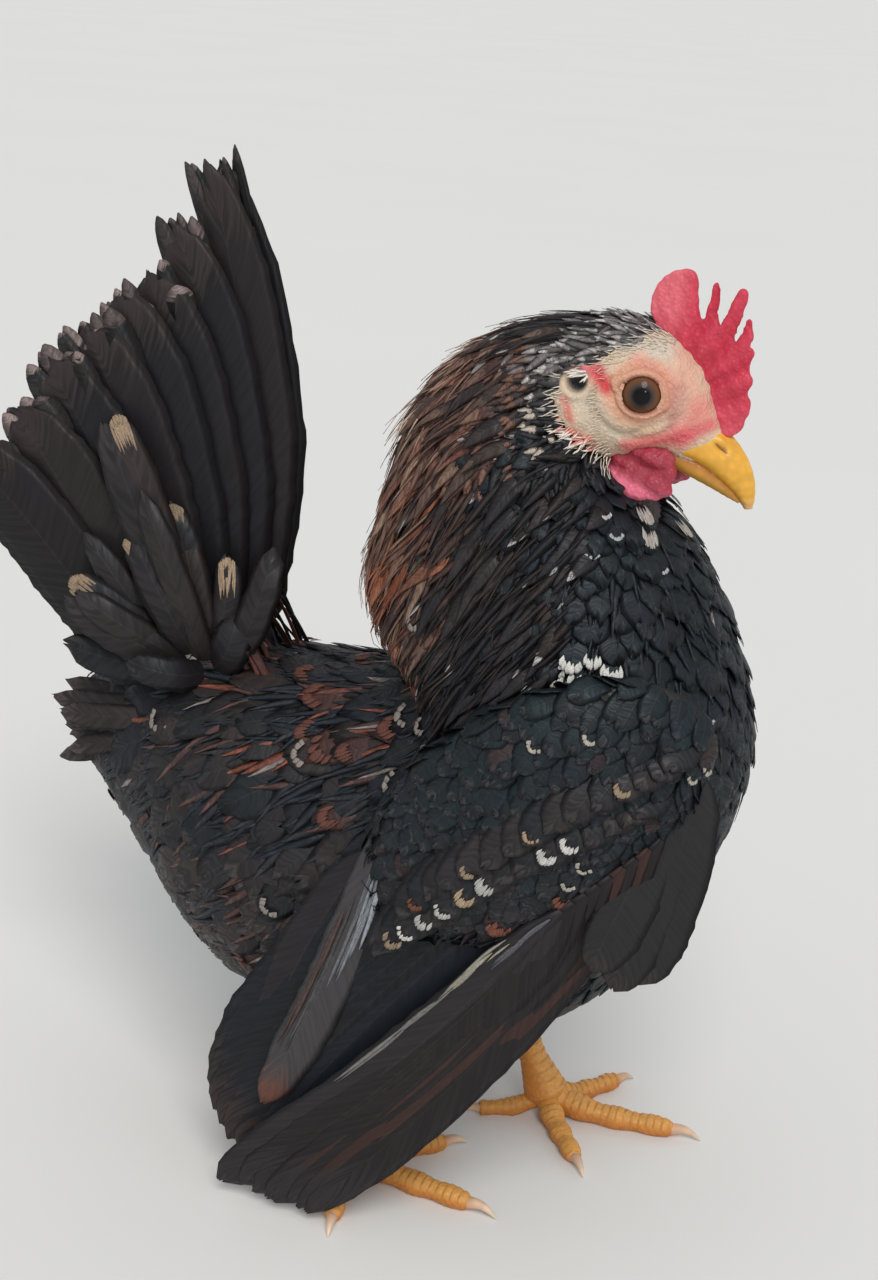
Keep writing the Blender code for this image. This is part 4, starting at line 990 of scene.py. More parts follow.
def grow_bristles(surface, chance):
    """The fine short bristles of the cream face."""

    def kept(places, ways):
        x, y, z = places.T
        eye, ear = side_gap(places, EYE_CENTRE), side_gap(places, EAR)
        behind = x < np.interp(z, (160, 166, 170, 176, 180, 188), (19, 18, 17, 17, 24, 29))
        return (on_face(places) > 0.2) & (eye > 6.8) & (ear > 2.4) & behind & (np.abs(y) > 2)

    roots, ways = surface.scatter(BRISTLE_TRIES, lambda p: BRISTLE_SPACING, kept, chance)
    n = len(roots)
    inside = roots[:, 0] - face_edge(roots[:, 2])
    length = chance.uniform(0.9, 1.7, n) * np.interp(inside, (0, 2, 5), (1.9, 1.1, 0.8))
    veer = chance.normal(0, 0.3, n)
    edge = smooth_step(3.0, 0.0, inside)
    lift = chance.uniform(0.05, 0.25, (n, 1, 1)) + edge[:, None, None] * chance.uniform(0.2, 0.7, (n, 1, 1))
    paths, ups = surface.lay(
        roots, ways, body_lie, length, even(len(BRISTLE_SHAPE)), veer, lambda t: -0.22 + lift * t)
    half = chance.uniform(0.10, 0.18, n)[:, None] * BRISTLE_SHAPE
    colour = mix(skin_colour(roots), (0.76, 0.70, 0.60), 0.30 + 0.35 * edge)
    tip = with_value(np.tile((0.80, 0.75, 0.66), (n, 1)), 0.3)
    tint = with_seed(varied(colour, 0.15, chance), chance)
    coat = Plumage(NARROW)
    coat.add(paths, ups, half, tint, tip, unwrapped(roots), thick=0.08, camber=0.2)
    coat.build("face_bristles", BRISTLE, "face", ("head",))


def grow_head(surface, chance):
    grow_crown(surface, chance)
    grow_bristles(surface, chance)


def grow_quills(surface, chance):
    """Pink quills behind and below the cheek, and the white tuft over the ear."""
    spots = []
    for side in SIDES:
        for _ in range(26):
            t = chance.random()
            spots.append(mirrored((9.5 + 7.5 * t, 12.0, 170.5 - 5.5 * t + chance.normal(0, 0.9)), side))
        for _ in range(14):
            back, up = chance.uniform(0.0, 2.6), chance.uniform(1.5, 2.6)
            spots.append(mirrored((EAR[0] + back, 12.5, EAR[1] + up), side))
    roots, ways = surface.nearest(np.array(spots))
    n = len(roots)
    tuft = roots[:, 2] > 175
    length = np.where(tuft, 2.6, 3.4) * chance.uniform(0.7, 1.2, n)
    veer = chance.normal(0.1, 0.35, n)
    lift = chance.uniform(0.5, 1.2, (n, 1, 1))
    paths, ups = surface.lay(
        roots, ways, body_lie, length, even(len(CHEEK_SHAPE)), veer, lambda t: -0.3 + lift * t)
    half = np.where(tuft, 0.28, 0.24)[:, None] * CHEEK_SHAPE
    colour = np.where(tuft[:, None], (0.66, 0.62, 0.56), (0.80, 0.34, 0.28))
    tip = with_value(np.tile((0.82, 0.74, 0.66), (n, 1)), 0.5)
    coat = Plumage(NARROW)
    tint = with_seed(colour, chance)
    coat.add(paths, ups, half, tint, tip, unwrapped(roots), thick=0.14, camber=0.4)
    coat.build("cheek_quills", BRISTLE, "face", ("head",))


# Wings

def quill_line(root, tip, bow, facing, twist, t):
    """The middle line of a large feather and the way its face looks, as in the source."""
    root, tip, bow, facing = (np.array(a, float) for a in (root, tip, bow, facing))
    centres = root + (tip - root) * t[:, None] + bow * (4 * t * (1 - t))[:, None]
    along = unit(np.gradient(centres, axis=0))
    side = unit(np.cross(along, facing))
    face = np.cross(side, along)
    roll = np.radians(twist[0] + (twist[1] - twist[0]) * t)[:, None]
    return centres, face * np.cos(roll) - side * np.sin(roll)


QUILL_SHAPE = ((0, 0.06, 0.16, 0.4, 0.8, 0.93, 0.98, 1.0), (0.12, 0.5, 0.8, 0.98, 0.97, 0.72, 0.45, 0.12))
TONGUE_SHAPE = ((0, 0.1, 0.4, 0.8, 0.93, 1.0), (0.3, 0.7, 1.0, 0.92, 0.66, 0.15))


WING_TWIST = (-8, -8)
PRIMARIES, SECONDARIES = 9, 10
# Strands over the vanes: the feather, where they start and end along it, how far off its shaft they lie, and
# their half width and colour. Feather -1 is the inner one: its three light grey strands towards the front are
# a painted sheen, its darker and brown strands its own colour. The first primary follows the secondaries.
WING_SHEEN_AND_STREAKS = (
    (-1, 0.10, 0.42, -0.55, 0.8, (0.36, 0.38, 0.41)), (-1, 0.12, 0.50, -0.25, 0.8, (0.20, 0.21, 0.23)),
    (-1, 0.14, 0.58, 0.05, 0.8, (0.12, 0.12, 0.13)), (-1, 0.25, 0.80, 0.35, 0.9, (0.060, 0.056, 0.058)),
    (-1, 0.30, 0.85, 0.70, 0.8, (0.07, 0.042, 0.037)),
    (SECONDARIES, 0.10, 0.30, 0.86, 0.7, (0.30, 0.27, 0.22)),
    (SECONDARIES, 0.26, 0.60, 0.88, 0.7, (0.15, 0.14, 0.13)),
    (SECONDARIES, 0.02, 0.22, 0.5, 0.8, (0.10, 0.10, 0.11)),
)
STREAK_SHAPE = np.array((0.15, 0.7, 1.0, 1.0, 0.9, 0.6, 0.15))
LONG_COVERTS = 15
# Tiers of long coverts: how far off the first tier's their tips lie, reach, half width, lift, and the
# colours of the tips that are pale.
COVERT_TIERS = (
    ((0.0, 0.0), (10, 17), 4.4, 8.2,
     {4: WHITE, 5: WHITE, 8: WHITE, 9: BUFF, 10: WHITE, 11: WHITE, 12: WHITE, 13: BUFF}),
    ((4.5, 9.5), (8, 13), 3.9, 8.6, {3: BUFF, 7: BUFF, 10: BUFF, 13: (0.22, 0.075, 0.035)}),
)


def wing_line(side, root, tip, root_lift, tip_y, twist, bow, t):
    """The line of a large feather whose root and tip are places in side view of the wing."""
    sign = side_sign(side)
    along = unit(np.array((tip[0] - root[0], 0, tip[1] - root[1])))
    stand = np.array((-along[2], 0, along[0])) * bow
    slid = WING_SLIDE[side]
    start = (root[0] + slid, sign * (wing_y(root[0] + slid) + root_lift), root[1])
    end = (tip[0] + slid, sign * tip_y, tip[1])
    return quill_line(start, end, stand, (0, sign, 0), [sign * roll for roll in twist], t)


def flight_feathers(side, chance):
    """The large feathers of one wing: two tiers, the bastard wing and a pale inner one."""
    t = even(34)
    shape = np.interp(t, *QUILL_SHAPE)
    rows = []

    def quill(root, tip, root_lift, tip_y, half, twist, bow, tint, edge):
        rows.append((*wing_line(side, root, tip, root_lift, tip_y, twist, bow, t), shape * half, tint, edge))

    for k in range(SECONDARIES):
        share = k / (SECONDARIES - 1)
        root, tip = mix(*SECONDARY_ROOTS, share), on_curve(SECONDARY_TIPS, share)
        tint = (0.016, 0.014, 0.016) if share == 1 else mix(BLACK, BLUE_SHEEN_BLACK, chance.random())
        quill(root, tip, 1.8, WING_TIP_Y - 3.0, SECONDARY_HALF_WIDTH, (-8, -9), -2.0, tint,
              (0.03, 0.020, 0.018, 0.1))
    for k in range(PRIMARIES):
        share = k / (PRIMARIES - 1)
        root, tip = mix(*PRIMARY_ROOTS, share), mix(*PRIMARY_TIPS, share)
        half = PRIMARY_HALF_WIDTH[0] + (PRIMARY_HALF_WIDTH[1] - PRIMARY_HALF_WIDTH[0]) * share
        tip = tip + np.abs(chance.normal(0, 1.3, 2)) * (1, 0.9)
        tint = mix((0.013, 0.010, 0.011), (0.036, 0.017, 0.014), k in (5, 7)) if k else (0.020, 0.018, 0.020)
        quill(root, tip, 4.0, WING_TIP_Y + 1.2, half, (-13, -15), PRIMARY_BOW, tint,
              (0.02, 0.018, 0.02, 0.12))
    for root, tip in zip(ALULA_ROOTS, ALULA_TIPS):
        tip_y = wing_y(tip[0] + WING_SLIDE[side]) + 6.0
        quill(root, tip, -1.0, tip_y, 5.6, (-10, -10), 1.5, (0.017, 0.016, 0.017),
              (0.03, 0.024, 0.022, 0.06))
    quill((-10.0, 96.0), (-34.4, 26.0), 2.0, WING_TIP_Y + 0.6, 5.0, (-8, -12), 2.5, SLATE,
          (0.12, 0.050, 0.036, 0.10))
    return gathered(rows)


def grow_wing_sheen_and_streaks(side, lines, faces, halves, chance):
    """Thin strands over the inner feather, the lightest a painted sheen, and over the first primary."""
    rows, stations = [], len(STREAK_SHAPE)
    for row, start, end, off, half, tint in WING_SHEEN_AND_STREAKS:
        for _ in range(8):
            first = start + (end - start) * chance.uniform(0, 0.5)
            s = np.linspace(first, first + (end - start) * chance.uniform(0.3, 0.6), stations)
            middle, way = on_curve(lines[row], s), unit(on_curve(faces[row], s))
            across = unit(np.cross(unit(np.gradient(middle, axis=0)), way)) * -side_sign(side)
            width = np.interp(s, even(len(halves[row])), halves[row])[:, None]
            place = (off + chance.normal(0, 0.06)) * width
            line = middle + across * place + way * 0.72
            rows.append((line, way, half * chance.uniform(0.3, 0.7) * STREAK_SHAPE, tint))
    strands, ways, half, tint = gathered(rows)
    tint = varied(tint, 0.2, chance)
    tip = with_value(tint, 0.0)
    sheen_and_edge_strands = Plumage(NARROW)
    sheen_and_edge_strands.add(strands, ways, half, with_seed(tint, chance), tip, bake_row(len(rows)), thick=0.12, camber=0.1)
    sheen_and_edge_strands.build(f"wing_sheen_and_edge_strands_{side}", FEATHER, "plumage", (f"wing_{side}",))


def grow_long_coverts(side, chance):
    """Two tiers of coverts over the flight feathers, some of them with pale tips."""
    coverts = Plumage(TORN)
    count = LONG_COVERTS
    t = even(10)
    tongue = np.interp(t, *TONGUE_SHAPE)
    for tier, (slide_back, reach, half, lift, marked) in enumerate(COVERT_TIERS):
        rows = []
        for k in range(count):
            share = k / (count - 1)
            free = float(smooth_step(0.0, 0.5, share))
            tip = on_curve(GREATER_COVERT_TIPS, share) + slide_back
            root = (tip[0] + reach[0] * (0.3 + 0.7 * free), tip[1] + reach[1] * (0.55 + 0.45 * free))
            tip_y = wing_y(tip[0] + WING_SLIDE[side]) + lift - 2.2 * (1 - free)
            rows.append(wing_line(side, root, tip, (5.6 + tier) * free - 3.0, tip_y, WING_TWIST, 0.0, t))
        lines, faces = gathered(rows)
        tint = varied(mix(DUSK_BROWN, BLACK, chance.uniform(0.3, 1, count)), 0.3, chance)
        edge = np.tile((0.035, 0.028, 0.028, 0.08), (count, 1))
        halves = np.tile(tongue * half, (count, 1))
        bake = np.stack((np.linspace(0.1, 0.9, count), np.full(count, 0.1 + 0.1 * tier)), -1)
        coverts.add(lines, faces, halves, with_seed(tint, chance), edge, bake, thick=0.2, camber=0.14,
                    ragged=0.22, wavy=0.06, chance=chance)
        picks = list(marked)
        colours = np.array(list(marked.values())) * chance.uniform(0.55, 0.95, (len(picks), 1))
        reach = chance.uniform(0.8, 2.4 - 0.8 * tier, len(picks))
        add_marks(coverts, lines[picks], faces[picks], halves[picks] * 0.68, colours, reach, bake[picks],
                  chance, 9)
    coverts.build(f"wing_coverts_{side}", FEATHER, "plumage", (f"wing_{side}",))


def wing_lie(places, ways):
    return np.broadcast_to(unit(np.array((-0.52, 0, -0.86))), places.shape)


def grow_small_coverts(side, chance):
    """The small feathers of the shoulder."""
    surface = Surface(*remeshed("shoulder", [shield_grid(side)], SHOULDER_CELL, SHOULDER_SMOOTHING))

    def kept(places, ways):
        return ways[:, 1] * side_sign(side) > -0.15

    roots, ways = surface.scatter(
        COVERT_TRIES, lambda p: np.interp(p[:, 0], (-10, 45), (2.5, 1.9)), kept, chance)
    n = len(roots)
    x, _, z = roots.T
    length = np.interp(x, (-10, 45), (9.0, 7.0)) * chance.uniform(0.85, 1.2, n)
    veer = chance.normal(0, 0.14, n)
    lift = chance.uniform(0.0, 0.5, (n, 1, 1))
    paths, ups = surface.lay(
        roots, ways, wing_lie, length, BODY_STEPS, veer, lambda t: -1.4 * (1 - t) + lift * t ** 1.5)
    half = (length * 0.34)[:, None] * BODY_SHAPE
    tint = mix(BLACK, BLUE_SHEEN_BLACK, chance.random(n))
    tint = mix(tint, GREEN_SHEEN_BLACK, 0.6 * chance.random(n) * smooth_step(80, 105, z))
    draw = chance.random(n)
    tint = mix(tint, DUSK_BROWN, 0.7 * chance.random(n) * smooth_step(110, 80, z))
    tint[draw < 0.05] = mix(tint[draw < 0.05], RUFOUS, 0.14)
    edge = np.tile((0.035, 0.032, 0.036, 0.08), (n, 1))
    bake = np.stack((x / 140 + 0.5, z / 140 - 0.3), -1)
    tint = with_seed(varied(tint, 0.2, chance), chance)
    coat = Plumage(TORN)
    coat.add(paths, ups, half, tint, edge, bake, thick=0.10, camber=0.12, ragged=0.28, wavy=0.08,
             chance=chance, steps=BODY_STEPS)
    red, pale = (draw < 0.03) & (z < 100), draw > 0.965
    for pick, colour, reach in ((red, (0.15, 0.052, 0.032), 2.0), (pale, (0.36, 0.33, 0.27), 0.9)):
        colours = np.tile(colour, (pick.sum(), 1))
        add_marks(coat, paths[pick], ups[pick], half[pick], colours, reach, bake[pick], chance)
    coat.build(f"wing_small_{side}", FEATHER, "plumage", (f"wing_{side}",))


def grow_wing(side, chance):
    """A wing let down: flight feathers, a dark core, two tiers of long coverts and the small feathers."""
    nodes = (f"wing_{side}",)
    lines, faces, halves, tints, tips = flight_feathers(side, chance)
    wing = Plumage(QUILL_SPREAD)
    wing.add(lines, faces, halves, with_seed(tints, chance), tips, None, thick=0.35, camber=0.10,
             ragged=0.10, wavy=0.035, chance=chance, shaft=0.30, lead=-0.22 * side_sign(side))
    wing.build(f"wing_quills_{side}", QUILL, "plumage", nodes)
    grow_wing_sheen_and_streaks(side, lines, faces, halves, chance)
    make_piece(f"wing_core_{side}", *shield_grid(side, 1.6), SKIN_DARK, "plumage", nodes)
    grow_long_coverts(side, chance)
    grow_small_coverts(side, chance)


# The tail

TAIL_FINGERS = 6
SLIVER_STEPS = np.array((0, 0.2, 0.45, 0.7, 0.85, 0.94, 1.0))
SLIVER_TAPER = np.array((0.7, 0.9, 1, 0.95, 0.74, 0.45, 0.10))


def grow_tail_quills(chance):
    """The tail's broad feathers in a steep tent, worn and frayed into slivers at their tips."""
    t = even(40)
    shape = np.interp(t, *QUILL_SHAPE)
    rows, slivers = [], []
    for side, k in itertools.product(SIDES, range(TAIL_COUNT)):
        sign = side_sign(side)
        share = k / (TAIL_COUNT - 1)
        tip = on_curve(TAIL_TIPS, share)
        root = mix(TAIL_ROOT_TOP, TAIL_ROOT_LOW, share)
        bow = (TAIL_BOW * (1 - 0.5 * share), sign * 2.0 * share, 2.0 * share)
        centres, ways = quill_line(
            mirrored(root, side), mirrored(tip, side), bow, (0.25, sign, 0.1), (sign * -10, sign * -16), t)
        half = TAIL_HALF_WIDTH * chance.uniform(0.93, 1.0)
        cut = chance.uniform(0.90, 0.965) if k else 0.955
        narrowing = np.interp(t, (0.45, 1.0), (1.0, 0.62 + 0.38 * smooth_step(0, 0.3, share)))
        tint = mix(BLACK, (0.018, 0.014, 0.015), chance.random())
        line = on_curve(centres, t * cut)
        rows.append((line, ways, shape * half * narrowing, tint, (0.030, 0.023, 0.022, 0.12)))
        for strand in range(TAIL_FINGERS):
            off = -0.9 + 1.8 * (strand + chance.uniform(0.1, 0.9)) / TAIL_FINGERS
            start = cut - chance.uniform(0.12, 0.20)
            end = min(1.0, cut + chance.uniform(-0.035, 0.045)) - 0.035 * off ** 2
            s = start + (end - start) * SLIVER_STEPS
            middle, way = on_curve(centres, s), unit(on_curve(ways, s))
            across = unit(np.cross(unit(np.gradient(middle, axis=0)), way))
            narrow = narrowing[-1]
            splay = 1 + (0.12 if k else 0.30) * even(len(s)) ** 2 * chance.uniform(0.2, 1)
            spread_out = half * off * narrow * 0.8 * splay
            rise = chance.uniform(-0.25, 0.25) + 0.02 * strand
            line = middle + across * spread_out[:, None] + way * rise
            width = chance.uniform(2.0, 3.6) * narrow * SLIVER_TAPER
            tint = mix((0.012, 0.010, 0.010), (0.034, 0.025, 0.023), chance.random())
            slivers.append((line, unit(way + across * off * 0.3), width, tint, 0.5 if k < 2 else 1.0))
    lines, faces, halves, tints, tips = gathered(rows)
    tail = Plumage(QUILL_SPREAD)
    tail.add(lines, faces, halves, with_seed(tints, chance), tips, None, thick=0.4, camber=0.08,
             ragged=0.12, wavy=0.03, chance=chance, shaft=0.35)
    tail.build("tail_quills", QUILL, "plumage", ("tail",))
    lines, faces, halves, tints, worn = gathered(slivers)
    n = len(slivers)
    bright = np.outer(worn * chance.uniform(0.35, 1.3, n), (0.20, 0.150, 0.140))
    tips = with_value(bright, chance.uniform(0.1, 0.6, (n, 1)))
    frayed = Plumage(NARROW)
    frayed.add(lines, faces, halves, with_seed(tints, chance), tips, bake_row(n), thick=0.06, camber=0.0)
    frayed.build("tail_fringe", FEATHER, "plumage", ("tail",))


def grow_tail_coverts(chance):
    """The tail's coverts: a few long ones in tufts, thin ones before it and short ones below and behind."""
    t = even(14)
    tongue = np.interp(t, *TONGUE_SHAPE)
    rows, marked = [], []

    def covert(side, root, end, bow, facing, half, tint, tip):
        line = quill_line(mirrored(root, side), mirrored(end, side), bow, facing, (0, 0), t)
        rows.append((*line, tongue * half, tint, tip))

    for side in SIDES:
        sign = side_sign(side)
        for tip, extra in itertools.product(COVERT_TIPS, range(3)):
            shift = chance.normal(0, 1, 3) * (5.0, 1.0, 6.0) - (0, 0, 5.0) if extra else np.zeros(3)
            end = np.array(tip, float) + shift
            root = np.array((COVERT_ROOT[0] * 0.9 + end[0] * 0.1, *COVERT_ROOT[1:]))
            root = root + shift * (0.4, 0.2, 0.1)
            covert(side, root, end, (3, sign * (2.5 + extra), 0), (0.2, sign, 0.3), chance.uniform(3.2, 4.8),
                   mix(BLACK, DUSK_BROWN, chance.random()), (0.03, 0.025, 0.025, 0.1))
            if extra == 0 or chance.random() < 0.15:
                marked.append(len(rows) - 1)
        for _ in range(16):
            out = chance.uniform(1, 11)
            root = (-46 - chance.uniform(0, 10), out, 100)
            end = (root[0] - chance.uniform(9, 15), out + 1, chance.uniform(113, 124))
            covert(side, root, end, (2, 0, 0), (0.5, sign, 0.5), chance.uniform(0.5, 1.3),
                   mix(mix(BLACK, RUFOUS, 0.8 * chance.random()), STRAW, 0.5 * (chance.random() < 0.2)),
                   (0.15, 0.095, 0.065, 0.2))
        for _ in range(26):
            out, over = chance.uniform(2, 17), chance.uniform(0, 1)
            root = (-70 + 4 * over, out * 0.8, 84 + 16 * over)
            end = (-chance.uniform(90, 103), out, 80 + 14 * over + chance.normal(0, 2))
            covert(side, root, end, (0, sign * 2, 2.5 - 4 * over), (0.1, sign, 0.5), chance.uniform(2.0, 3.4),
                   mix(BLACK, DUSK_BROWN, chance.random()), (0.05, 0.036, 0.032, 0.12))
    lines, faces, halves, tints, tips = gathered(rows)
    coverts = Plumage(TORN)
    coverts.add(lines, faces, halves, with_seed(tints, chance), tips, bake_row(len(rows)), thick=0.2,
                camber=0.24, ragged=0.25, wavy=0.06, chance=chance)
    buff = varied(np.tile((0.27, 0.190, 0.125), (len(marked), 1)), 0.35, chance)
    lines, faces, halves = lines[marked], faces[marked], halves[marked] * 0.8
    for longest in (3.0, 6.0):
        reach = longest * chance.uniform(0.5, 1.3, len(marked))
        add_marks(coverts, lines, faces, halves, buff, reach, bake_row(len(marked)), chance, 9)
    coverts.build("tail_coverts", FEATHER, "plumage", ("tail",))


# Flesh that shows: head, comb, wattles, bill, eyes

def build_skin():
    """One skin over body, neck, thighs and tail root, with the head in finer detail."""
    points, quads = remeshed("skin", body_parts(SKIN_DEPTH, LEG_DEPTH), BODY_CELL, BODY_SMOOTHING)
    head_points, head_faces = head_grid()
    base = len(points)
    points = np.concatenate((points, head_points))
    tint = skin_colour(points)
    tint[:base] = DARK_SKIN
    faces = [quads] + [f + base for f in head_faces]
    nodes = ("torso", "neck", "head", "thigh_right", "thigh_left")
    flesh_piece("skin", points, faces, tint, SKIN, "face", nodes)


def eye_axes(side):
    """The way an eye looks, and the way ahead of it across the face."""
    turn, sign = math.radians(EYE_TURN), side_sign(side)
    out = np.array((math.sin(turn), sign * math.cos(turn), 0))
    return out, np.array((math.cos(turn), -sign * math.sin(turn), 0))


HEAD_RINGS, HEAD_SIDES = 170, 260
EYE_OPENING = 50.0  # degrees from the middle of the eye to the edge of the lids
SOCKET_EDGE = 95.0


def face_lift(points):
    """How far the skin stands out from the skull's plain form: brow, cheeks, ear, lobe and folds."""
    x, y, z = np.moveaxis(points, -1, 0)
    beside = smooth_step(4, 9, np.abs(y))
    eye, ear = side_gap(points, EYE_CENTRE), side_gap(points, EAR)
    lobe = np.hypot((x - EARLOBE[0]) / 3.0, (z - EARLOBE[1]) / 4.2)
    round_eye = np.cos(np.arctan2(z - EYE_CENTRE[2], x - EYE_CENTRE[0]))
    lift = beside * 0.8 * np.exp(-((ear - 2.6) / 0.8) ** 2)
    lift -= beside * 2.2 * np.exp(-(ear / 1.5) ** 2)
    lift += beside * 0.9 * np.exp(-lobe ** 2 * 1.4)
    lift += beside * 0.55 * np.exp(-((eye - 6.6) / 1.2) ** 2) * (0.6 + 0.4 * round_eye)
    lift -= beside * 0.45 * np.exp(-((eye - 8.6) / 0.7) ** 2) * smooth_step(178, 173, z)
    lift += 0.5 * near_line(points, (30.5, 170.0), (21.0, 166.0), 2.4) * beside
    lift -= 0.4 * near_line(points, (29.0, 172.4), (22.0, 168.8), 1.1) * beside
    lift -= 0.35 * near_line(points, (14.5, 176.0), (17.5, 178.5), 1.2) * beside
    crease = np.sin(x * 2.6 + np.sin(z * 1.3) * 1.4) * np.sin(z * 2.2 + np.sin(x * 0.9) * 1.7)
    return lift + 0.07 * crease * on_face(points)


def head_grid():
    """The head's skin, shaped by face_lift and opened round the eyes."""
    v, u = ring_places(HEAD_RINGS, HEAD_SIDES)
    points = loft_at(SKULL, u, v, 0.5)
    height = points[..., 2]
    points = points + outward(points) * face_lift(points)[..., None]
    for side in SIDES:
        centre = mirrored(EYE_CENTRE, side)
        gap = points - centre
        far = np.linalg.norm(gap, axis=-1)
        angle = np.degrees(np.arccos(np.clip(gap @ eye_axes(side)[0] / far, -1, 1)))
        crease = 0.10 * np.sin(angle * 1.1) * smooth_step(-1, 3, height - centre[2])
        lid = EYE_RADIUS + 0.35 + 0.35 * np.exp(-((angle - EYE_OPENING - 9) / 9) ** 2)
        lid = (lid + crease * smooth_step(88, 70, angle)) * smooth_step(SOCKET_EDGE, 75, angle)
        pushed = np.where(angle < SOCKET_EDGE, np.maximum(far, lid), far)
        pushed = np.where(angle < EYE_OPENING, EYE_RADIUS - 0.5, pushed)
        points = centre + gap * (pushed / far)[..., None]
    return points.reshape(-1, 3), ring_faces(HEAD_RINGS, HEAD_SIDES)


def build_lids(side):
    """The bare lids: a soft ring round the eye with fine folds, pinched at its corners."""
    sign = side_sign(side)
    out, ahead = eye_axes(side)
    around, section = 96, 20
    angle, roll = np.meshgrid(
        2 * np.pi * np.arange(around) / around, 2 * np.pi * np.arange(section) / section, indexing="ij")
    spoke = ahead * np.cos(angle)[..., None] * 1.07 + np.array((0, 0, 1.0)) * np.sin(angle)[..., None]
    centre = mirrored(EYE_CENTRE, side) + out * 2.62
    corner = np.exp(-((np.mod(angle + np.pi, 2 * np.pi) - np.pi - 2.75) / 0.30) ** 2) * 1.1
    corner = corner + np.exp(-((angle - 5.9) / 0.28) ** 2) * 0.5
    ring = LID_RADIUS - 0.18 + corner * 0.5
    middle = centre + spoke * ring[..., None] - out * (0.22 * np.cos(2 * angle))[..., None]
    fold = 1 + 0.08 * np.cos(roll * 6 + np.sin(angle * 5))
    thick = LID_THICKNESS * (fold + 0.05 * np.sin(angle * 29 + 2 * np.sin(angle * 3)))
    round_ring = spoke * (np.cos(roll) * (1.3 + corner))[..., None] + out * np.sin(roll)[..., None]
    points = (middle + round_ring * thick[..., None]).reshape(-1, 3)
    i, k = np.meshgrid(np.arange(around), np.arange(section), indexing="ij")
    a, b = i * section + k, i * section + (k + 1) % section
    c, d = ((i + 1) % around) * section + (k + 1) % section, ((i + 1) % around) * section + k
    quads = np.stack((a, b, c, d) if sign > 0 else (d, c, b, a), -1).reshape(-1, 4)
    tint = mix((0.66, 0.34, 0.22), (0.16, 0.05, 0.03), smooth_step(0.3, -0.75, np.cos(roll)).ravel())
    tint = mix(tint, (0.60, 0.20, 0.15), 0.5 * smooth_step(24, 30, points[:, 0]))
    flesh_piece(f"lids_{side}", points, [quads], tint, SKIN, "face", ("head",))


def build_eye(side):
    """The eyeball, ringed about the way it looks, so that pupil and iris have clean edges."""
    out, ahead = eye_axes(side)
    rings, sides = 70, 64
    fall = np.linspace(0.004, np.pi - 0.01, rings) ** 1.25 / (np.pi ** 0.25)
    fall, around = np.meshgrid(
        np.minimum(fall, np.pi - 0.01), 2 * np.pi * np.arange(sides) / sides, indexing="ij")
    bulge = EYE_RADIUS + 0.22 * np.exp(-(fall / 0.55) ** 2)
    flat = np.sin(fall)[..., None] * (
        ahead * np.cos(around)[..., None] + np.array((0, 0, 1.0)) * np.sin(around)[..., None])
    points = mirrored(EYE_CENTRE, side) + (flat + out * np.cos(fall)[..., None]) * bulge[..., None]
    faces = ring_faces(rings, sides)
    if side_sign(side) < 0:
        faces = [f[:, ::-1] for f in faces]
    uv = np.stack((around / (2 * np.pi), fall / np.pi), -1).reshape(-1, 2)
    make_piece(f"eyeball_{side}", points.reshape(-1, 3), faces, EYE, "eye", (f"eye_{side}",), {"Iris": uv})


def slab_grid(outline, half_of):
    """A closed sheet with this outline in side view and half_of its thickness at each place."""
    import bmesh
    flat = bmesh.new()
    sheet = flat.faces.new([flat.verts.new((x, 0, z)) for x, z in outline])
    bmesh.ops.triangulate(flat, faces=[sheet], ngon_method="BEAUTY")
    flat.verts.index_update()
    split = np.array([[v.index for v in face.verts] for face in flat.faces])
    flat.free()
    count = len(outline)
    half = half_of(outline[:, 0], outline[:, 1])
    one = np.stack((outline[:, 0], half, outline[:, 1]), -1)
    points = np.concatenate((one * (1, -1, 1), one))
    k = np.arange(count)
    after = (k + 1) % count
    rim = np.stack((k, after, after + count, k + count), -1)
    return points, [split, split[:, ::-1] + count, rim]


def comb_half(x, z):
    """Half the comb's thickness at each place, which falls from its base to its points."""
    base = np.array(COMB_BASE)
    height = np.min(np.hypot(x[:, None] - base[:, 0], z[:, None] - base[:, 1]), axis=1)
    return COMB_HALF[0] + (COMB_HALF[1] - COMB_HALF[0]) * np.clip(1 - height / COMB_CROWN, 0, 1)


def fleshy(name, parts, voxel, smoothing, tint_of, relief, node):
    """A soft piece grown over the parts, with relief and colour that depend on the place."""
    points, quads = remeshed(name, parts, voxel, smoothing)
    points = points + facings(points, quads) * relief(*points.T)[:, None]
    flesh_piece(name, points, [quads], tint_of(points), COMB_FLESH, "comb", (node,))


def round_comb(x, z):
    return np.arctan2(z - COMB_PIVOT[1], x - COMB_PIVOT[0])


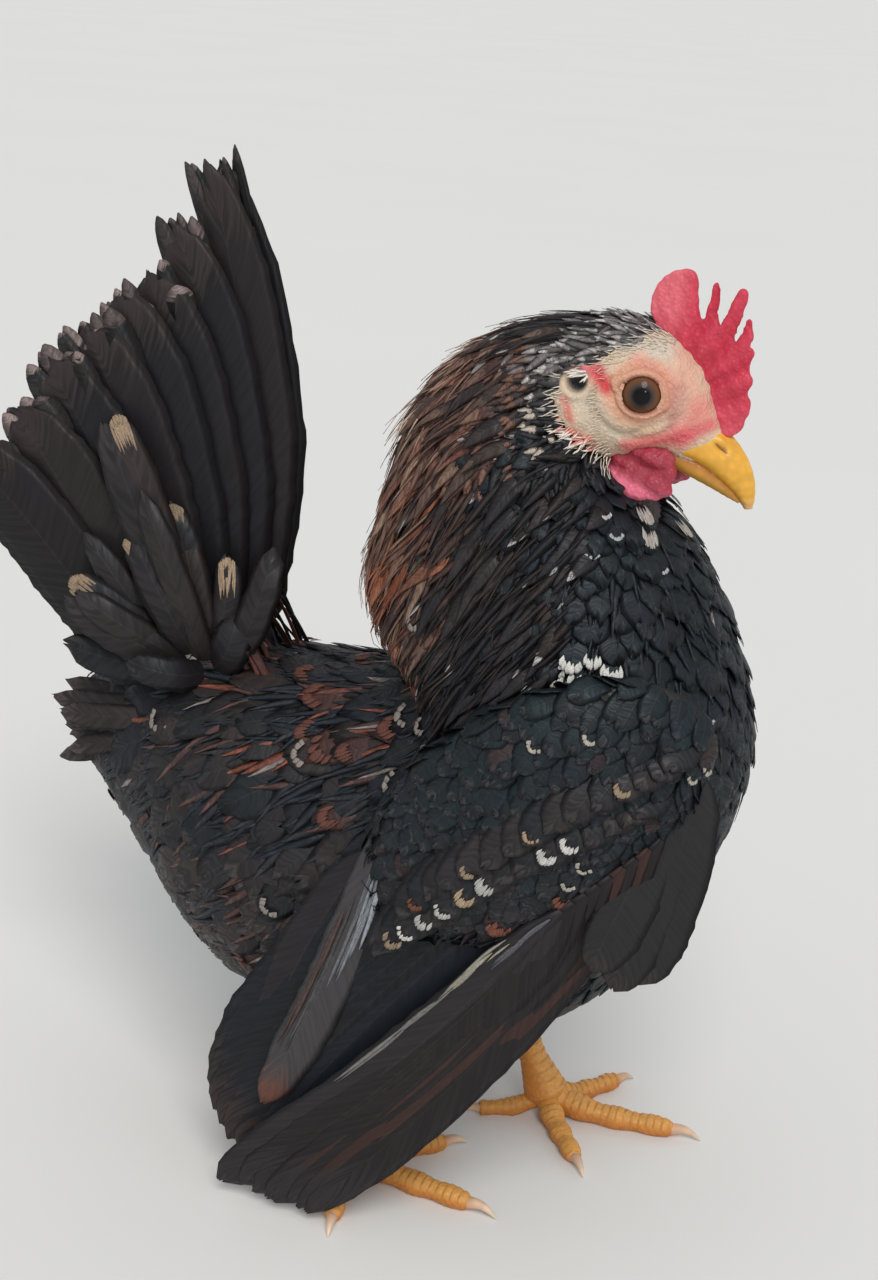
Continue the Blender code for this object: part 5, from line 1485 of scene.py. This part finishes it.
def build_comb():
    """The single comb: a thick pebbled blade with a broad back lobe and thin points."""

    def tint_of(places):
        x, _, z = places.T
        lobe = smooth_step(30.5, 26, x) * smooth_step(183, 192, z)
        colour = mix((0.52, 0.018, 0.052), (0.72, 0.130, 0.165), lobe)
        # Lighter along the ridges and darker in the folds between them: painted highlight and painted shade.
        ridge_highlight = 0.5 + 0.5 * np.sin(round_comb(x, z) * COMB_RIDGES)
        colour = mix(colour, (0.62, 0.050, 0.090), 0.6 * ridge_highlight * (1 - lobe))
        colour = mix(colour, (0.40, 0.015, 0.035), 0.5 * near_line(places, (31, 184), (38, 177), 3.5))
        return mix(colour, (0.62, 0.10, 0.13), 0.6 * smooth_step(177, 168, z))

    def relief(x, y, z):
        ridges = 0.30 * np.sin(round_comb(x, z) * COMB_RIDGES + 0.6 * np.sin(z * 0.7))
        ridges = ridges * smooth_step(28, 32, x) * smooth_step(170, 178, z)
        return ridges + 0.12 * np.sin(x * 1.9 + 1.2 * np.sin(z * 0.8)) * np.sin(z * 1.5 + x * 0.4)

    blade = slab_grid(outline_points(COMB_TOP + COMB_BASE, 4), comb_half)
    fleshy("comb_flesh", [blade], COMB_CELL, COMB_SMOOTHING, tint_of, relief, "comb")


def build_wattle(side):
    """One wattle: soft folds that hang from the corner of the bill, darker above, partly with painted shade,
    and paler at the lobe.
    """

    def tint_of(places):
        # Darker above, partly its own deep crimson and partly painted shade under the bill; paler at the
        # lobe.
        lobe = smooth_step(161.5, 158.5, places[:, 2] + 0.35 * (places[:, 0] - 23))
        return mix((0.36, 0.030, 0.055), (0.72, 0.150, 0.225), lobe)

    def relief(x, y, z):
        return 0.28 * np.sin((x * 0.5 + z) * 1.5) + 0.12 * np.sin(x * 2.3 - z * 0.8)

    bulbs = [egg_grid(mirrored(centre, side), radii) for centre, radii in WATTLE_BULBS]
    fleshy(f"wattle_flesh_{side}", bulbs, WATTLE_CELL, WATTLE_SMOOTHING, tint_of, relief, f"wattle_{side}")


def nostril_reach(x, z):
    """How far a place is from the slit of the nostril, which slopes along the bill, where 1 is its rim."""
    slope = math.radians(NOSTRIL_SLOPE)
    run = (x - NOSTRIL[0]) * math.cos(slope) + (z - NOSTRIL[1]) * math.sin(slope)
    rise = (z - NOSTRIL[1]) * math.cos(slope) - (x - NOSTRIL[0]) * math.sin(slope)
    return np.hypot(run / 1.5, rise / 0.42)


BILL_RINGS, BILL_SIDES = 90, 80


def build_bill(half, stations):
    """One half of the bill: a sharp cutting edge, and in the upper half the slit of each nostril."""
    upper = half == "upper"
    v, u = ring_places(BILL_RINGS, BILL_SIDES)
    points = loft_at(stations, u, v, 0.0 if upper else 0.15)
    lift = 0.025 * np.sin(v * 60 + np.sin(u * 14))
    if upper:
        x, y, z = np.moveaxis(points, -1, 0)
        beside = smooth_step(0.8, 1.8, np.abs(y))
        lift = lift - 0.9 * np.exp(-nostril_reach(x, z) ** 2 * 1.2) * beside
        lift = lift + 0.42 * np.exp(-(nostril_reach(x, z - 1.15) / 1.1) ** 2) * beside
        lift = lift + 0.22 * np.exp(-((u - 0.25) / 0.035) ** 2)
        lift = lift + 0.30 * np.exp(-((v - 0.10) / 0.07) ** 2) * np.exp(-((u - 0.25) / 0.2) ** 2)
    points = (points + outward(points) * lift[..., None]).reshape(-1, 3)
    x, y, z = points.T
    over_edge = z - np.interp(x, (29, 34, 38, 41, 43.5), (164.2, 162.9, 160.9, 158.3, 155.6))
    if upper:
        # Lighter along the top of the bill: a painted highlight.
        ridge_highlight = smooth_step(0.6, 0.0, np.abs(y)) * smooth_step(168, 162, z)
        slit = smooth_step(1.25, 0.7, nostril_reach(x, z)) * (np.abs(y) > 1)
        # Orange-brown below the cutting edge: partly its own colour and partly painted shade on its lower
        # side.
        shade = mix((0.74, 0.37, 0.035), (0.44, 0.155, 0.012), 0.85 * smooth_step(1.6, -0.6, over_edge))
        shade = mix(shade, (0.78, 0.50, 0.14), 0.6 * ridge_highlight)
        shade = mix(shade, BILL_TIP, 0.6 * smooth_step(158, 155.5, z))
        shade = mix(shade, (0.10, 0.030, 0.008), 0.9 * slit)
        shade = mix(shade, (0.66, 0.30, 0.20), 0.7 * smooth_step(31.5, 29.5, x - 0.3 * (z - 166)))
    else:
        # Darker just under the upper bill's edge: painted shade beneath its overhang.
        shade = mix((0.46, 0.17, 0.015), (0.60, 0.30, 0.045), smooth_step(0.5, -2.0, over_edge))
        shade = mix(shade, BILL_TIP, 0.6 * smooth_step(158, 155.5, z))
    faces = ring_faces(BILL_RINGS, BILL_SIDES)
    flesh_piece(f"bill_horn_{half}", points, faces, shade, BILL, "bill", (f"bill_{half}",))


# Legs

def toe_path(side, toe, count):
    """The middle of a toe, from the ball of the foot down to the floor and out to its claw."""
    ball, tips = FEET[side]
    start = np.array((*ball, KNUCKLE_Z - 1.5))
    flat_z = TOE_RADIUS[toe] * 0.72
    end = np.array((*tips[toe], flat_z))
    end = start + (end - start) * (1 - CLAW_LENGTH[toe] * 0.8 / np.linalg.norm(end - start))
    t = even(count)
    path = start + (end - start) * t[:, None]
    path[:, 2] = flat_z + (start[2] - flat_z) * np.maximum(0.0, 1 - 1.9 * t) ** 1.4
    return path


def scaled_tube(name, path, radii, node, scute, sides=32):
    """A bare limb: plates overlap down its front and round its toes, and small scales cover the rest."""
    rings, spoke, turn = tube_rings(path, radii, sides)
    run = np.concatenate(([0], np.cumsum(np.linalg.norm(np.diff(path, axis=0), axis=1))))
    top = smooth_step(-0.1, 0.7, np.sin(turn))[None]
    phase = ((run / scute)[:, None] + 0.12 * np.cos(turn)[None]) % 1.0
    plate = (1 - phase) ** 0.7 * 0.30 - 0.12
    knobs = 0.10 * np.sin(run[:, None] * 3.6) * np.sin(turn[None] * 9)
    lift = plate * top + knobs * (1 - top)
    points = rings + unit(spoke) * lift[..., None]
    points[..., 2] = np.maximum(points[..., 2], 0.02)
    groove = np.clip(1 - np.abs(phase - 0.97) * 14, 0, 1) * top
    # Lighter where the plates lie on top, darker and more orange beneath: the darker tone is painted shade.
    shade = mix((0.58, 0.21, 0.035), (0.66, 0.31, 0.070), top * np.ones_like(phase))
    shade = mix(shade, (0.30, 0.09, 0.02), 0.6 * groove).reshape(-1, 3)
    flesh_piece(name, points.reshape(-1, 3), ring_faces(len(path), sides), shade, LEG, "leg", (node,))


def build_legs(side):
    foot, hock = np.array((*FEET[side][0], KNUCKLE_Z)), np.array(HOCKS[side])
    t = np.linspace(-0.12, 1.08, 150)
    radii = SHANK_RADIUS * np.interp(
        t, (-0.12, 0.0, 0.12, 0.4, 0.75, 0.92, 1.0, 1.08), (0.8, 1.25, 1.1, 0.95, 1.0, 1.4, 1.6, 1.1))
    scaled_tube(f"shank_skin_{side}", hock + (foot - hock) * t[:, None], radii, f"shank_{side}", 2.3, 40)
    for toe, base in TOE_RADIUS.items():
        t = even(120)
        path = toe_path(side, toe, len(t))
        pads = 1 + 0.09 * np.cos(t * 2 * np.pi * (2.0 if toe == "hind" else 3.5))
        radii = base * (1.12 - 0.38 * t) * pads * np.sqrt(np.clip((1.02 - t) / 0.05, 0.15, 1))
        scaled_tube(f"toe_skin_{side}_{toe}", path, radii, f"toe_{side}_{toe}", 1.75)
        build_claw(side, toe, path, base * 0.72)


CLAW_RINGS, CLAW_SIDES = 40, 20


def build_claw(side, toe, path, thick):
    """A curved pointed claw that comes out from under the last plate."""
    reach = CLAW_LENGTH[toe]
    along = unit(path[-1] - path[-8])
    t = np.linspace(-0.12, 1, CLAW_RINGS)
    line = path[-1] + along * (reach * t)[:, None]
    out = np.clip(t, 0, 1)
    line[:, 2] = path[-1][2] + reach * (0.10 * np.sin(out * np.pi) - 0.26 * out ** 2)
    radii = thick * 0.74 * np.interp(t, (-0.12, 0, 0.5, 0.85, 1), (0.9, 0.92, 0.62, 0.3, 0.06))
    line[:, 2] = np.maximum(line[:, 2], radii + 0.05)
    points = tube_rings(line, radii, CLAW_SIDES)[0].reshape(-1, 3)
    tint = np.repeat(mix((0.62, 0.36, 0.22), (0.70, 0.56, 0.42), t), CLAW_SIDES, axis=0)
    faces = ring_faces(CLAW_RINGS, CLAW_SIDES)
    flesh_piece(f"claw_horn_{side}_{toe}", points, faces, tint, CLAW, "claw", (f"claw_{side}_{toe}",))


def grow_thighs(surface, chance):
    """The last small feathers of the thighs, down to the hocks."""

    def kept(places, ways):
        return (places[:, 2] < 46) & (places[:, 2] > 33)

    roots, ways = surface.scatter(THIGH_TRIES, lambda p: THIGH_SPACING, kept, chance)
    n = len(roots)
    length = chance.uniform(5.5, 8.0, n)
    veer = chance.normal(0, 0.2, n)
    paths, ups = surface.lay(
        roots, ways, leg_lie, length, BODY_STEPS, veer, lambda t: -1.2 * (1 - t) + 0.5 * t)
    half = (length * 0.27)[:, None] * BODY_SHAPE
    tint = varied(mix(BLACK, DUSK_BROWN, chance.random(n)), 0.3, chance)
    tip = np.tile((0.06, 0.05, 0.05, 0.14), (n, 1))
    coat = Plumage(BROAD)
    coat.add(paths, ups, half, with_seed(tint, chance), tip, unwrapped(roots), thick=0.12, camber=0.2,
             ragged=0.2, wavy=0.1, chance=chance, steps=BODY_STEPS)
    coat.build("coat_thighs", FEATHER, "plumage", ("thigh_right", "thigh_left"))


# Finishes

NUMBER = "NodeSocketFloat"
PATTERN_OUTPUTS = (("Color", "NodeSocketColor"), ("Height", NUMBER), ("Roughness", NUMBER))


def new_group(name, inputs):
    """A pattern group with number inputs. Its outputs are colour, height and roughness."""
    group = bpy.data.node_groups.new(name, "ShaderNodeTree")
    for label, value in inputs.items():
        group.interface.new_socket(label, in_out="INPUT", socket_type=NUMBER).default_value = value
    for label, kind in PATTERN_OUTPUTS:
        group.interface.new_socket(label, in_out="OUTPUT", socket_type=kind)
    return group, group.nodes.new("NodeGroupInput").outputs, group.nodes.new("NodeGroupOutput").inputs


def feed(tree, socket, value):
    """Sets a socket to a number or a colour, or links it to another node's output."""
    if isinstance(value, (int, float)):
        socket.default_value = value
    elif isinstance(value, tuple):
        socket.default_value = (*value, 1.0)
    else:
        tree.links.new(value, socket)


def maths(tree, operation, *values):
    node = tree.nodes.new("ShaderNodeMath")
    node.operation = operation
    for socket, value in zip(node.inputs, values):
        feed(tree, socket, value)
    return node.outputs[0]


def spread(tree, value, low, high, to_low=0.0, to_high=1.0):
    """A smooth step from low to high, with the results between to_low and to_high."""
    node = tree.nodes.new("ShaderNodeMapRange")
    node.interpolation_type = "SMOOTHSTEP"
    labels = ("Value", "From Min", "From Max", "To Min", "To Max")
    for label, entry in zip(labels, (value, low, high, to_low, to_high)):
        feed(tree, node.inputs[label], entry)
    return node.outputs["Result"]


def blended(tree, share, a, b):
    """Two colours mixed. The sockets go by number, because the node has several of the same name."""
    node = tree.nodes.new("ShaderNodeMix")
    node.data_type = "RGBA"
    for socket, value in zip((0, 6, 7), (share, a, b)):
        feed(tree, node.inputs[socket], value)
    return node.outputs[2]


def dimmed(tree, colour, share):
    node = tree.nodes.new("ShaderNodeVectorMath")
    node.operation = "SCALE"
    feed(tree, node.inputs[0], colour)
    feed(tree, node.inputs["Scale"], share)
    return node.outputs[0]


def combined(tree, *values):
    node = tree.nodes.new("ShaderNodeCombineXYZ")
    for socket, value in zip(node.inputs, values):
        feed(tree, socket, value)
    return node.outputs[0]


def map_parts(tree, name):
    """The two coordinates of one of a mesh's maps."""
    spot = tree.nodes.new("ShaderNodeUVMap")
    spot.uv_map = name
    parts = tree.nodes.new("ShaderNodeSeparateXYZ")
    feed(tree, parts.inputs[0], spot.outputs[0])
    return parts.outputs[0], parts.outputs[1]


def noise(tree, vector, scale, detail):
    node = tree.nodes.new("ShaderNodeTexNoise")
    for label, value in (("Scale", scale), ("Detail", detail), ("Vector", vector)):
        feed(tree, node.inputs[label], value)
    return node.outputs["Fac"]


def attribute(tree, name):
    node = tree.nodes.new("ShaderNodeAttribute")
    node.attribute_name = name
    return node


def feather_group():
    """Barbs that sweep from the shaft to the edge, the shaft, and a tip of another colour."""
    group, entry, leave = new_group(
        "Feather pattern", {"Barbs": 30.0, "Contrast": 0.5, "Shaft": 0.06, "Rim": 0.3})
    across, along = map_parts(group, "Vane")
    tint, tip = attribute(group, "Tint"), attribute(group, "Tip")
    off_shaft = maths(group, "ABSOLUTE", maths(group, "MULTIPLY_ADD", across, 2.0, -1.0))
    sweep = maths(group, "MULTIPLY_ADD", off_shaft, -0.12, along)
    barbs = combined(
        group, maths(group, "MULTIPLY", sweep, entry["Barbs"]), maths(group, "MULTIPLY", across, 1.6),
        maths(group, "MULTIPLY", tint.outputs["Alpha"], 60.0))
    streak = spread(group, noise(group, barbs, 1.0, 2.0), 0.3, 0.7)
    reach = maths(group, "MULTIPLY_ADD", tip.outputs["Alpha"], -1.0, 1.0)
    ragged = maths(group, "MULTIPLY_ADD", streak, 0.10, along)
    at_tip = maths(group, "MULTIPLY", spread(group, maths(group, "SUBTRACT", ragged, reach), 0.0, 0.12),
                   maths(group, "GREATER_THAN", tip.outputs["Alpha"], 0.01))
    colour = blended(group, at_tip, tint.outputs["Color"], tip.outputs["Color"])
    shade = spread(group, streak, 0.0, 1.0)
    dark = maths(group, "MULTIPLY_ADD", maths(group, "SUBTRACT", shade, 0.5), entry["Contrast"], 1.0)
    on_shaft = spread(group, off_shaft, entry["Shaft"], 0.0)
    lighter = blended(
        group, maths(group, "MULTIPLY", on_shaft, 0.06), dimmed(group, colour, dark), (0.13, 0.105, 0.090))
    rim = maths(group, "MULTIPLY", spread(group, off_shaft, 0.75, 1.0), entry["Rim"])
    feed(group, leave["Color"], blended(group, rim, lighter, (0.075, 0.064, 0.062)))
    feed(group, leave["Height"], maths(group, "ADD", on_shaft, maths(group, "MULTIPLY", streak, 0.6)))
    feed(group, leave["Roughness"], spread(group, streak, 0.0, 1.0, 0.66, 0.46))
    return group


def flesh_group():
    """Skin: a tint that varies from place to place, and fine pebbles."""
    group, entry, leave = new_group("Flesh pattern", {"Pebbles": 1400.0, "Mottle": 0.3})
    place = group.nodes.new("ShaderNodeTexCoord").outputs["Object"]
    cells = group.nodes.new("ShaderNodeTexVoronoi")
    feed(group, cells.inputs["Vector"], place)
    feed(group, cells.inputs["Scale"], entry["Pebbles"])
    bumps = spread(group, cells.outputs["Distance"], 0.75, 0.0)
    cloud = noise(group, place, 420.0, 5.0)
    shade = maths(group, "MULTIPLY_ADD", maths(group, "SUBTRACT", cloud, 0.5), entry["Mottle"], 0.93)
    shade = maths(group, "MULTIPLY_ADD", bumps, 0.14, shade)
    feed(group, leave["Color"], dimmed(group, attribute(group, "Tint").outputs["Color"], shade))
    feed(group, leave["Height"], maths(group, "MULTIPLY_ADD", cloud, 0.5, bumps))
    feed(group, leave["Roughness"], spread(group, bumps, 0.0, 1.0, 0.62, 0.42))
    return group


def new_material(name, values):
    """A new material, its node tree and its shader, with these values set."""
    material = bpy.data.materials.new(name)
    material.use_nodes = True
    shader = material.node_tree.nodes["Principled BSDF"]
    for label, value in values.items():
        shader.inputs[label.replace("_", " ")].default_value = value
    return material, material.node_tree, shader


def finish(name, group, values, bump, bump_depth, **constants):
    """A material whose colour, relief and roughness come from one of the pattern groups."""
    material, tree, shader = new_material(name, constants)
    pattern = tree.nodes.new("ShaderNodeGroup")
    pattern.node_tree = group
    relief = tree.nodes.new("ShaderNodeBump")
    for label, value in values.items():
        feed(tree, pattern.inputs[label], value)
    feed(tree, relief.inputs["Strength"], bump)
    feed(tree, relief.inputs["Distance"], bump_depth * MM)
    feed(tree, relief.inputs["Height"], pattern.outputs["Height"])
    feed(tree, shader.inputs["Normal"], relief.outputs[0])
    feed(tree, shader.inputs["Base Color"], pattern.outputs["Color"])
    feed(tree, shader.inputs["Roughness"], pattern.outputs["Roughness"])
    return material


# The eye from its middle out: how far along, from 0 to 1, and the colour there.
IRIS = (
    (0.0, (0.002, 0.002, 0.003)), (0.098, (0.003, 0.003, 0.004)), (0.118, (0.028, 0.020, 0.020)),
    (0.150, (0.064, 0.042, 0.034)), (0.190, (0.112, 0.054, 0.028)), (0.228, (0.155, 0.054, 0.018)),
    (0.258, (0.060, 0.018, 0.008)), (0.29, (0.015, 0.005, 0.004)),
)


def eye_finish():
    """A wet eye: black pupil, a dull brown ring, then a band of orange-brown with a dark rim."""
    material, tree, shader = new_material("wet eye", {
        "Roughness": 0.45, "Specular IOR Level": 0.05, "Coat Weight": 0.30, "Coat Roughness": 0.02,
    })
    around, fall = map_parts(tree, "Iris")
    rays = combined(tree, maths(tree, "MULTIPLY", around, 60.0), maths(tree, "MULTIPLY", fall, 18.0))
    fibre = noise(tree, rays, 1.0, 3.0)
    place = maths(tree, "MULTIPLY_ADD", maths(tree, "SUBTRACT", fibre, 0.5), 0.012, fall)
    ramp = tree.nodes.new("ShaderNodeValToRGB")
    stops = ramp.color_ramp.elements
    while len(stops) < len(IRIS):
        stops.new(0.5)
    for stop, (spot, colour) in zip(stops, IRIS):
        stop.position, stop.color = spot, (*colour, 1.0)
    feed(tree, ramp.inputs[0], place)
    feed(tree, shader.inputs["Base Color"], ramp.outputs[0])
    return material


def floor_finish():
    material, tree, shader = new_material("pale floor", {"Roughness": 0.75})
    cloud = noise(tree, tree.nodes.new("ShaderNodeTexCoord").outputs["Object"], 3.0, 3.0)
    feed(tree, shader.inputs["Base Color"], blended(tree, cloud, (0.74, 0.73, 0.71), (0.78, 0.77, 0.75)))
    return material


FEATHERS = feather_group()
FLESH = flesh_group()
FEATHER = finish(
    "black feather", FEATHERS, {"Barbs": 22.0, "Contrast": 0.5, "Shaft": 0.08, "Rim": 0.05}, 0.25, 0.15,
    Specular_IOR_Level=0.32, Specular_Tint=(0.80, 0.93, 1.0, 1.0))
HACKLE = finish(
    "hackle feather", FEATHERS, {"Barbs": 20.0, "Contrast": 0.6, "Shaft": 0.25, "Rim": 0.10}, 0.3, 0.2,
    Specular_IOR_Level=0.30)
QUILL = finish(
    "flight feather", FEATHERS, {"Barbs": 70.0, "Contrast": 0.15, "Shaft": 0.04, "Rim": 0.05}, 0.09, 0.15,
    Specular_IOR_Level=0.24)
BRISTLE = finish(
    "pale bristle", FEATHERS, {"Barbs": 8.0, "Contrast": 0.15, "Shaft": 0.0, "Rim": 0.0}, 0.1, 0.1,
    Specular_IOR_Level=0.3)
SKIN = finish(
    "face skin", FLESH, {"Pebbles": 1500.0, "Mottle": 0.35}, 0.5, 0.3,
    Subsurface_Weight=0.12, Subsurface_Scale=0.0015)
SKIN_DARK = finish("hidden skin", FLESH, {"Pebbles": 900.0, "Mottle": 0.3}, 0.3, 0.3)
COMB_FLESH = finish(
    "comb flesh", FLESH, {"Pebbles": 1250.0, "Mottle": 0.35}, 0.4, 0.3,
    Subsurface_Weight=0.18, Subsurface_Scale=0.002, Specular_IOR_Level=0.5)
BILL = finish("bill horn", FLESH, {"Pebbles": 600.0, "Mottle": 0.35}, 0.12, 0.15, Coat_Weight=0.25)
LEG = finish("leg scales", FLESH, {"Pebbles": 1000.0, "Mottle": 0.45}, 0.4, 0.25)
CLAW = finish("claw horn", FLESH, {"Pebbles": 300.0, "Mottle": 0.5}, 0.1, 0.1)
EYE = eye_finish()


# The stage: floor, lights and camera

FLOOR_HALF = 60000.0
# Sky light on the bird, and the paler sky that the camera sees.
SKY_LIGHT = (0.564, 0.582, 0.60)
SKY_SEEN = (0.80, 0.80, 0.79)
SUN_POWER, SUN_WIDTH, SUN_COLOUR, SUN_WAY = 1.7, 28, (1.0, 0.98, 0.95), (-0.30, 0.62, -0.80)
GLINT_PLACE, GLINT_TARGET, GLINT_SIZE, GLINT_POWER = (300, -420, 330), (0, 0, 150), 0.07, 0.22


def build_floor():
    corners = np.array([(-1, -1, 0), (1, -1, 0), (1, 1, 0), (-1, 1, 0)]) * FLOOR_HALF
    floor = make_piece("floor", corners - SHIFT * (1, 1, 0), [np.array([[0, 1, 2, 3]])], None, None)
    floor.data.materials.append(floor_finish())


def aim(holder, way):
    holder.rotation_euler = Vector(way).to_track_quat("-Z", "Y").to_euler()


def add_glint():
    """A small lamp that gives the eye its glint."""
    lamp = bpy.data.lights.new("glint", "AREA")
    lamp.shape, lamp.size, lamp.energy = "DISK", GLINT_SIZE, GLINT_POWER
    holder = add_object("glint", lamp)
    holder.location = (np.array(GLINT_PLACE) + SHIFT) * MM
    aim(holder, np.array(GLINT_TARGET, float) - np.array(GLINT_PLACE))


def light_stage():
    """Pale sky light from everywhere, one broad soft sun, and the glint."""
    world = bpy.data.worlds.new("studio")
    world.use_nodes = True
    tree = world.node_tree
    seen = tree.nodes.new("ShaderNodeLightPath").outputs["Is Camera Ray"]
    feed(tree, tree.nodes["Background"].inputs["Color"], blended(tree, seen, SKY_LIGHT, SKY_SEEN))
    bpy.context.scene.world = world
    sun = bpy.data.lights.new("sun", "SUN")
    sun.energy, sun.angle, sun.color = SUN_POWER, math.radians(SUN_WIDTH), SUN_COLOUR
    aim(add_object("sun", sun), SUN_WAY)
    add_glint()


CAMERA_AZIMUTH = 20.0
CAMERA_ELEVATION = 20.0
CAMERA_ROLL = 3.5
CAMERA_DISTANCE = 388.0
CAMERA_TARGET = (-16.37, 0.0, 118.05)
FOCAL_PIXELS = 1900.0
IMAGE_HEIGHT = 1280.0
SENSOR = 36.0
CLIP = (0.01, 400.0)


def place_camera():
    """The photo's camera: its angle round the bird, its height, its roll and its lens."""
    a, e, r = (math.radians(d) for d in (CAMERA_AZIMUTH, CAMERA_ELEVATION, CAMERA_ROLL))
    back = np.array((math.sin(a) * math.cos(e), -math.cos(a) * math.cos(e), math.sin(e)))
    level = np.array((math.cos(a), math.sin(a), 0.0))
    over = np.cross(back, level)
    right = level * math.cos(r) + over * math.sin(r)
    up = over * math.cos(r) - level * math.sin(r)
    place = (np.array(CAMERA_TARGET) + back * CAMERA_DISTANCE + SHIFT) * MM
    data = bpy.data.cameras.new("camera")
    data.sensor_width = SENSOR
    data.lens = FOCAL_PIXELS * SENSOR / IMAGE_HEIGHT
    data.clip_start, data.clip_end = CLIP
    camera = add_object("camera", data)
    camera.matrix_world = Matrix((*zip(right, up, back, place), (0, 0, 0, 1)))
    bpy.context.scene.camera = camera


FIRST_SEED, WING_SEED, TAIL_SEED = 11, 17, 18
SKIN_GROWERS = (grow_body, grow_streaks, grow_hackles, grow_head, grow_quills, grow_thighs)


def main():
    build_skin()
    parts = body_parts(0.0, 0.0) + [loft_grid(SKULL, 40, 60)]
    form = remeshed("coat_form", parts, BODY_CELL, BODY_SMOOTHING)
    surface = Surface(*form)
    for seed, grow in enumerate(SKIN_GROWERS, FIRST_SEED):
        grow(surface, np.random.default_rng(seed))
    for side in SIDES:
        grow_wing(side, np.random.default_rng(WING_SEED))
        for build in (build_lids, build_eye, build_wattle, build_legs):
            build(side)
    tail_chance = np.random.default_rng(TAIL_SEED)
    grow_tail_quills(tail_chance)
    grow_tail_coverts(tail_chance)
    build_comb()
    build_bill("upper", UPPER_BILL)
    build_bill("lower", LOWER_BILL)
    build_floor()
    light_stage()
    place_camera()
    bpy.context.scene.view_settings.view_transform = "Standard"


main()
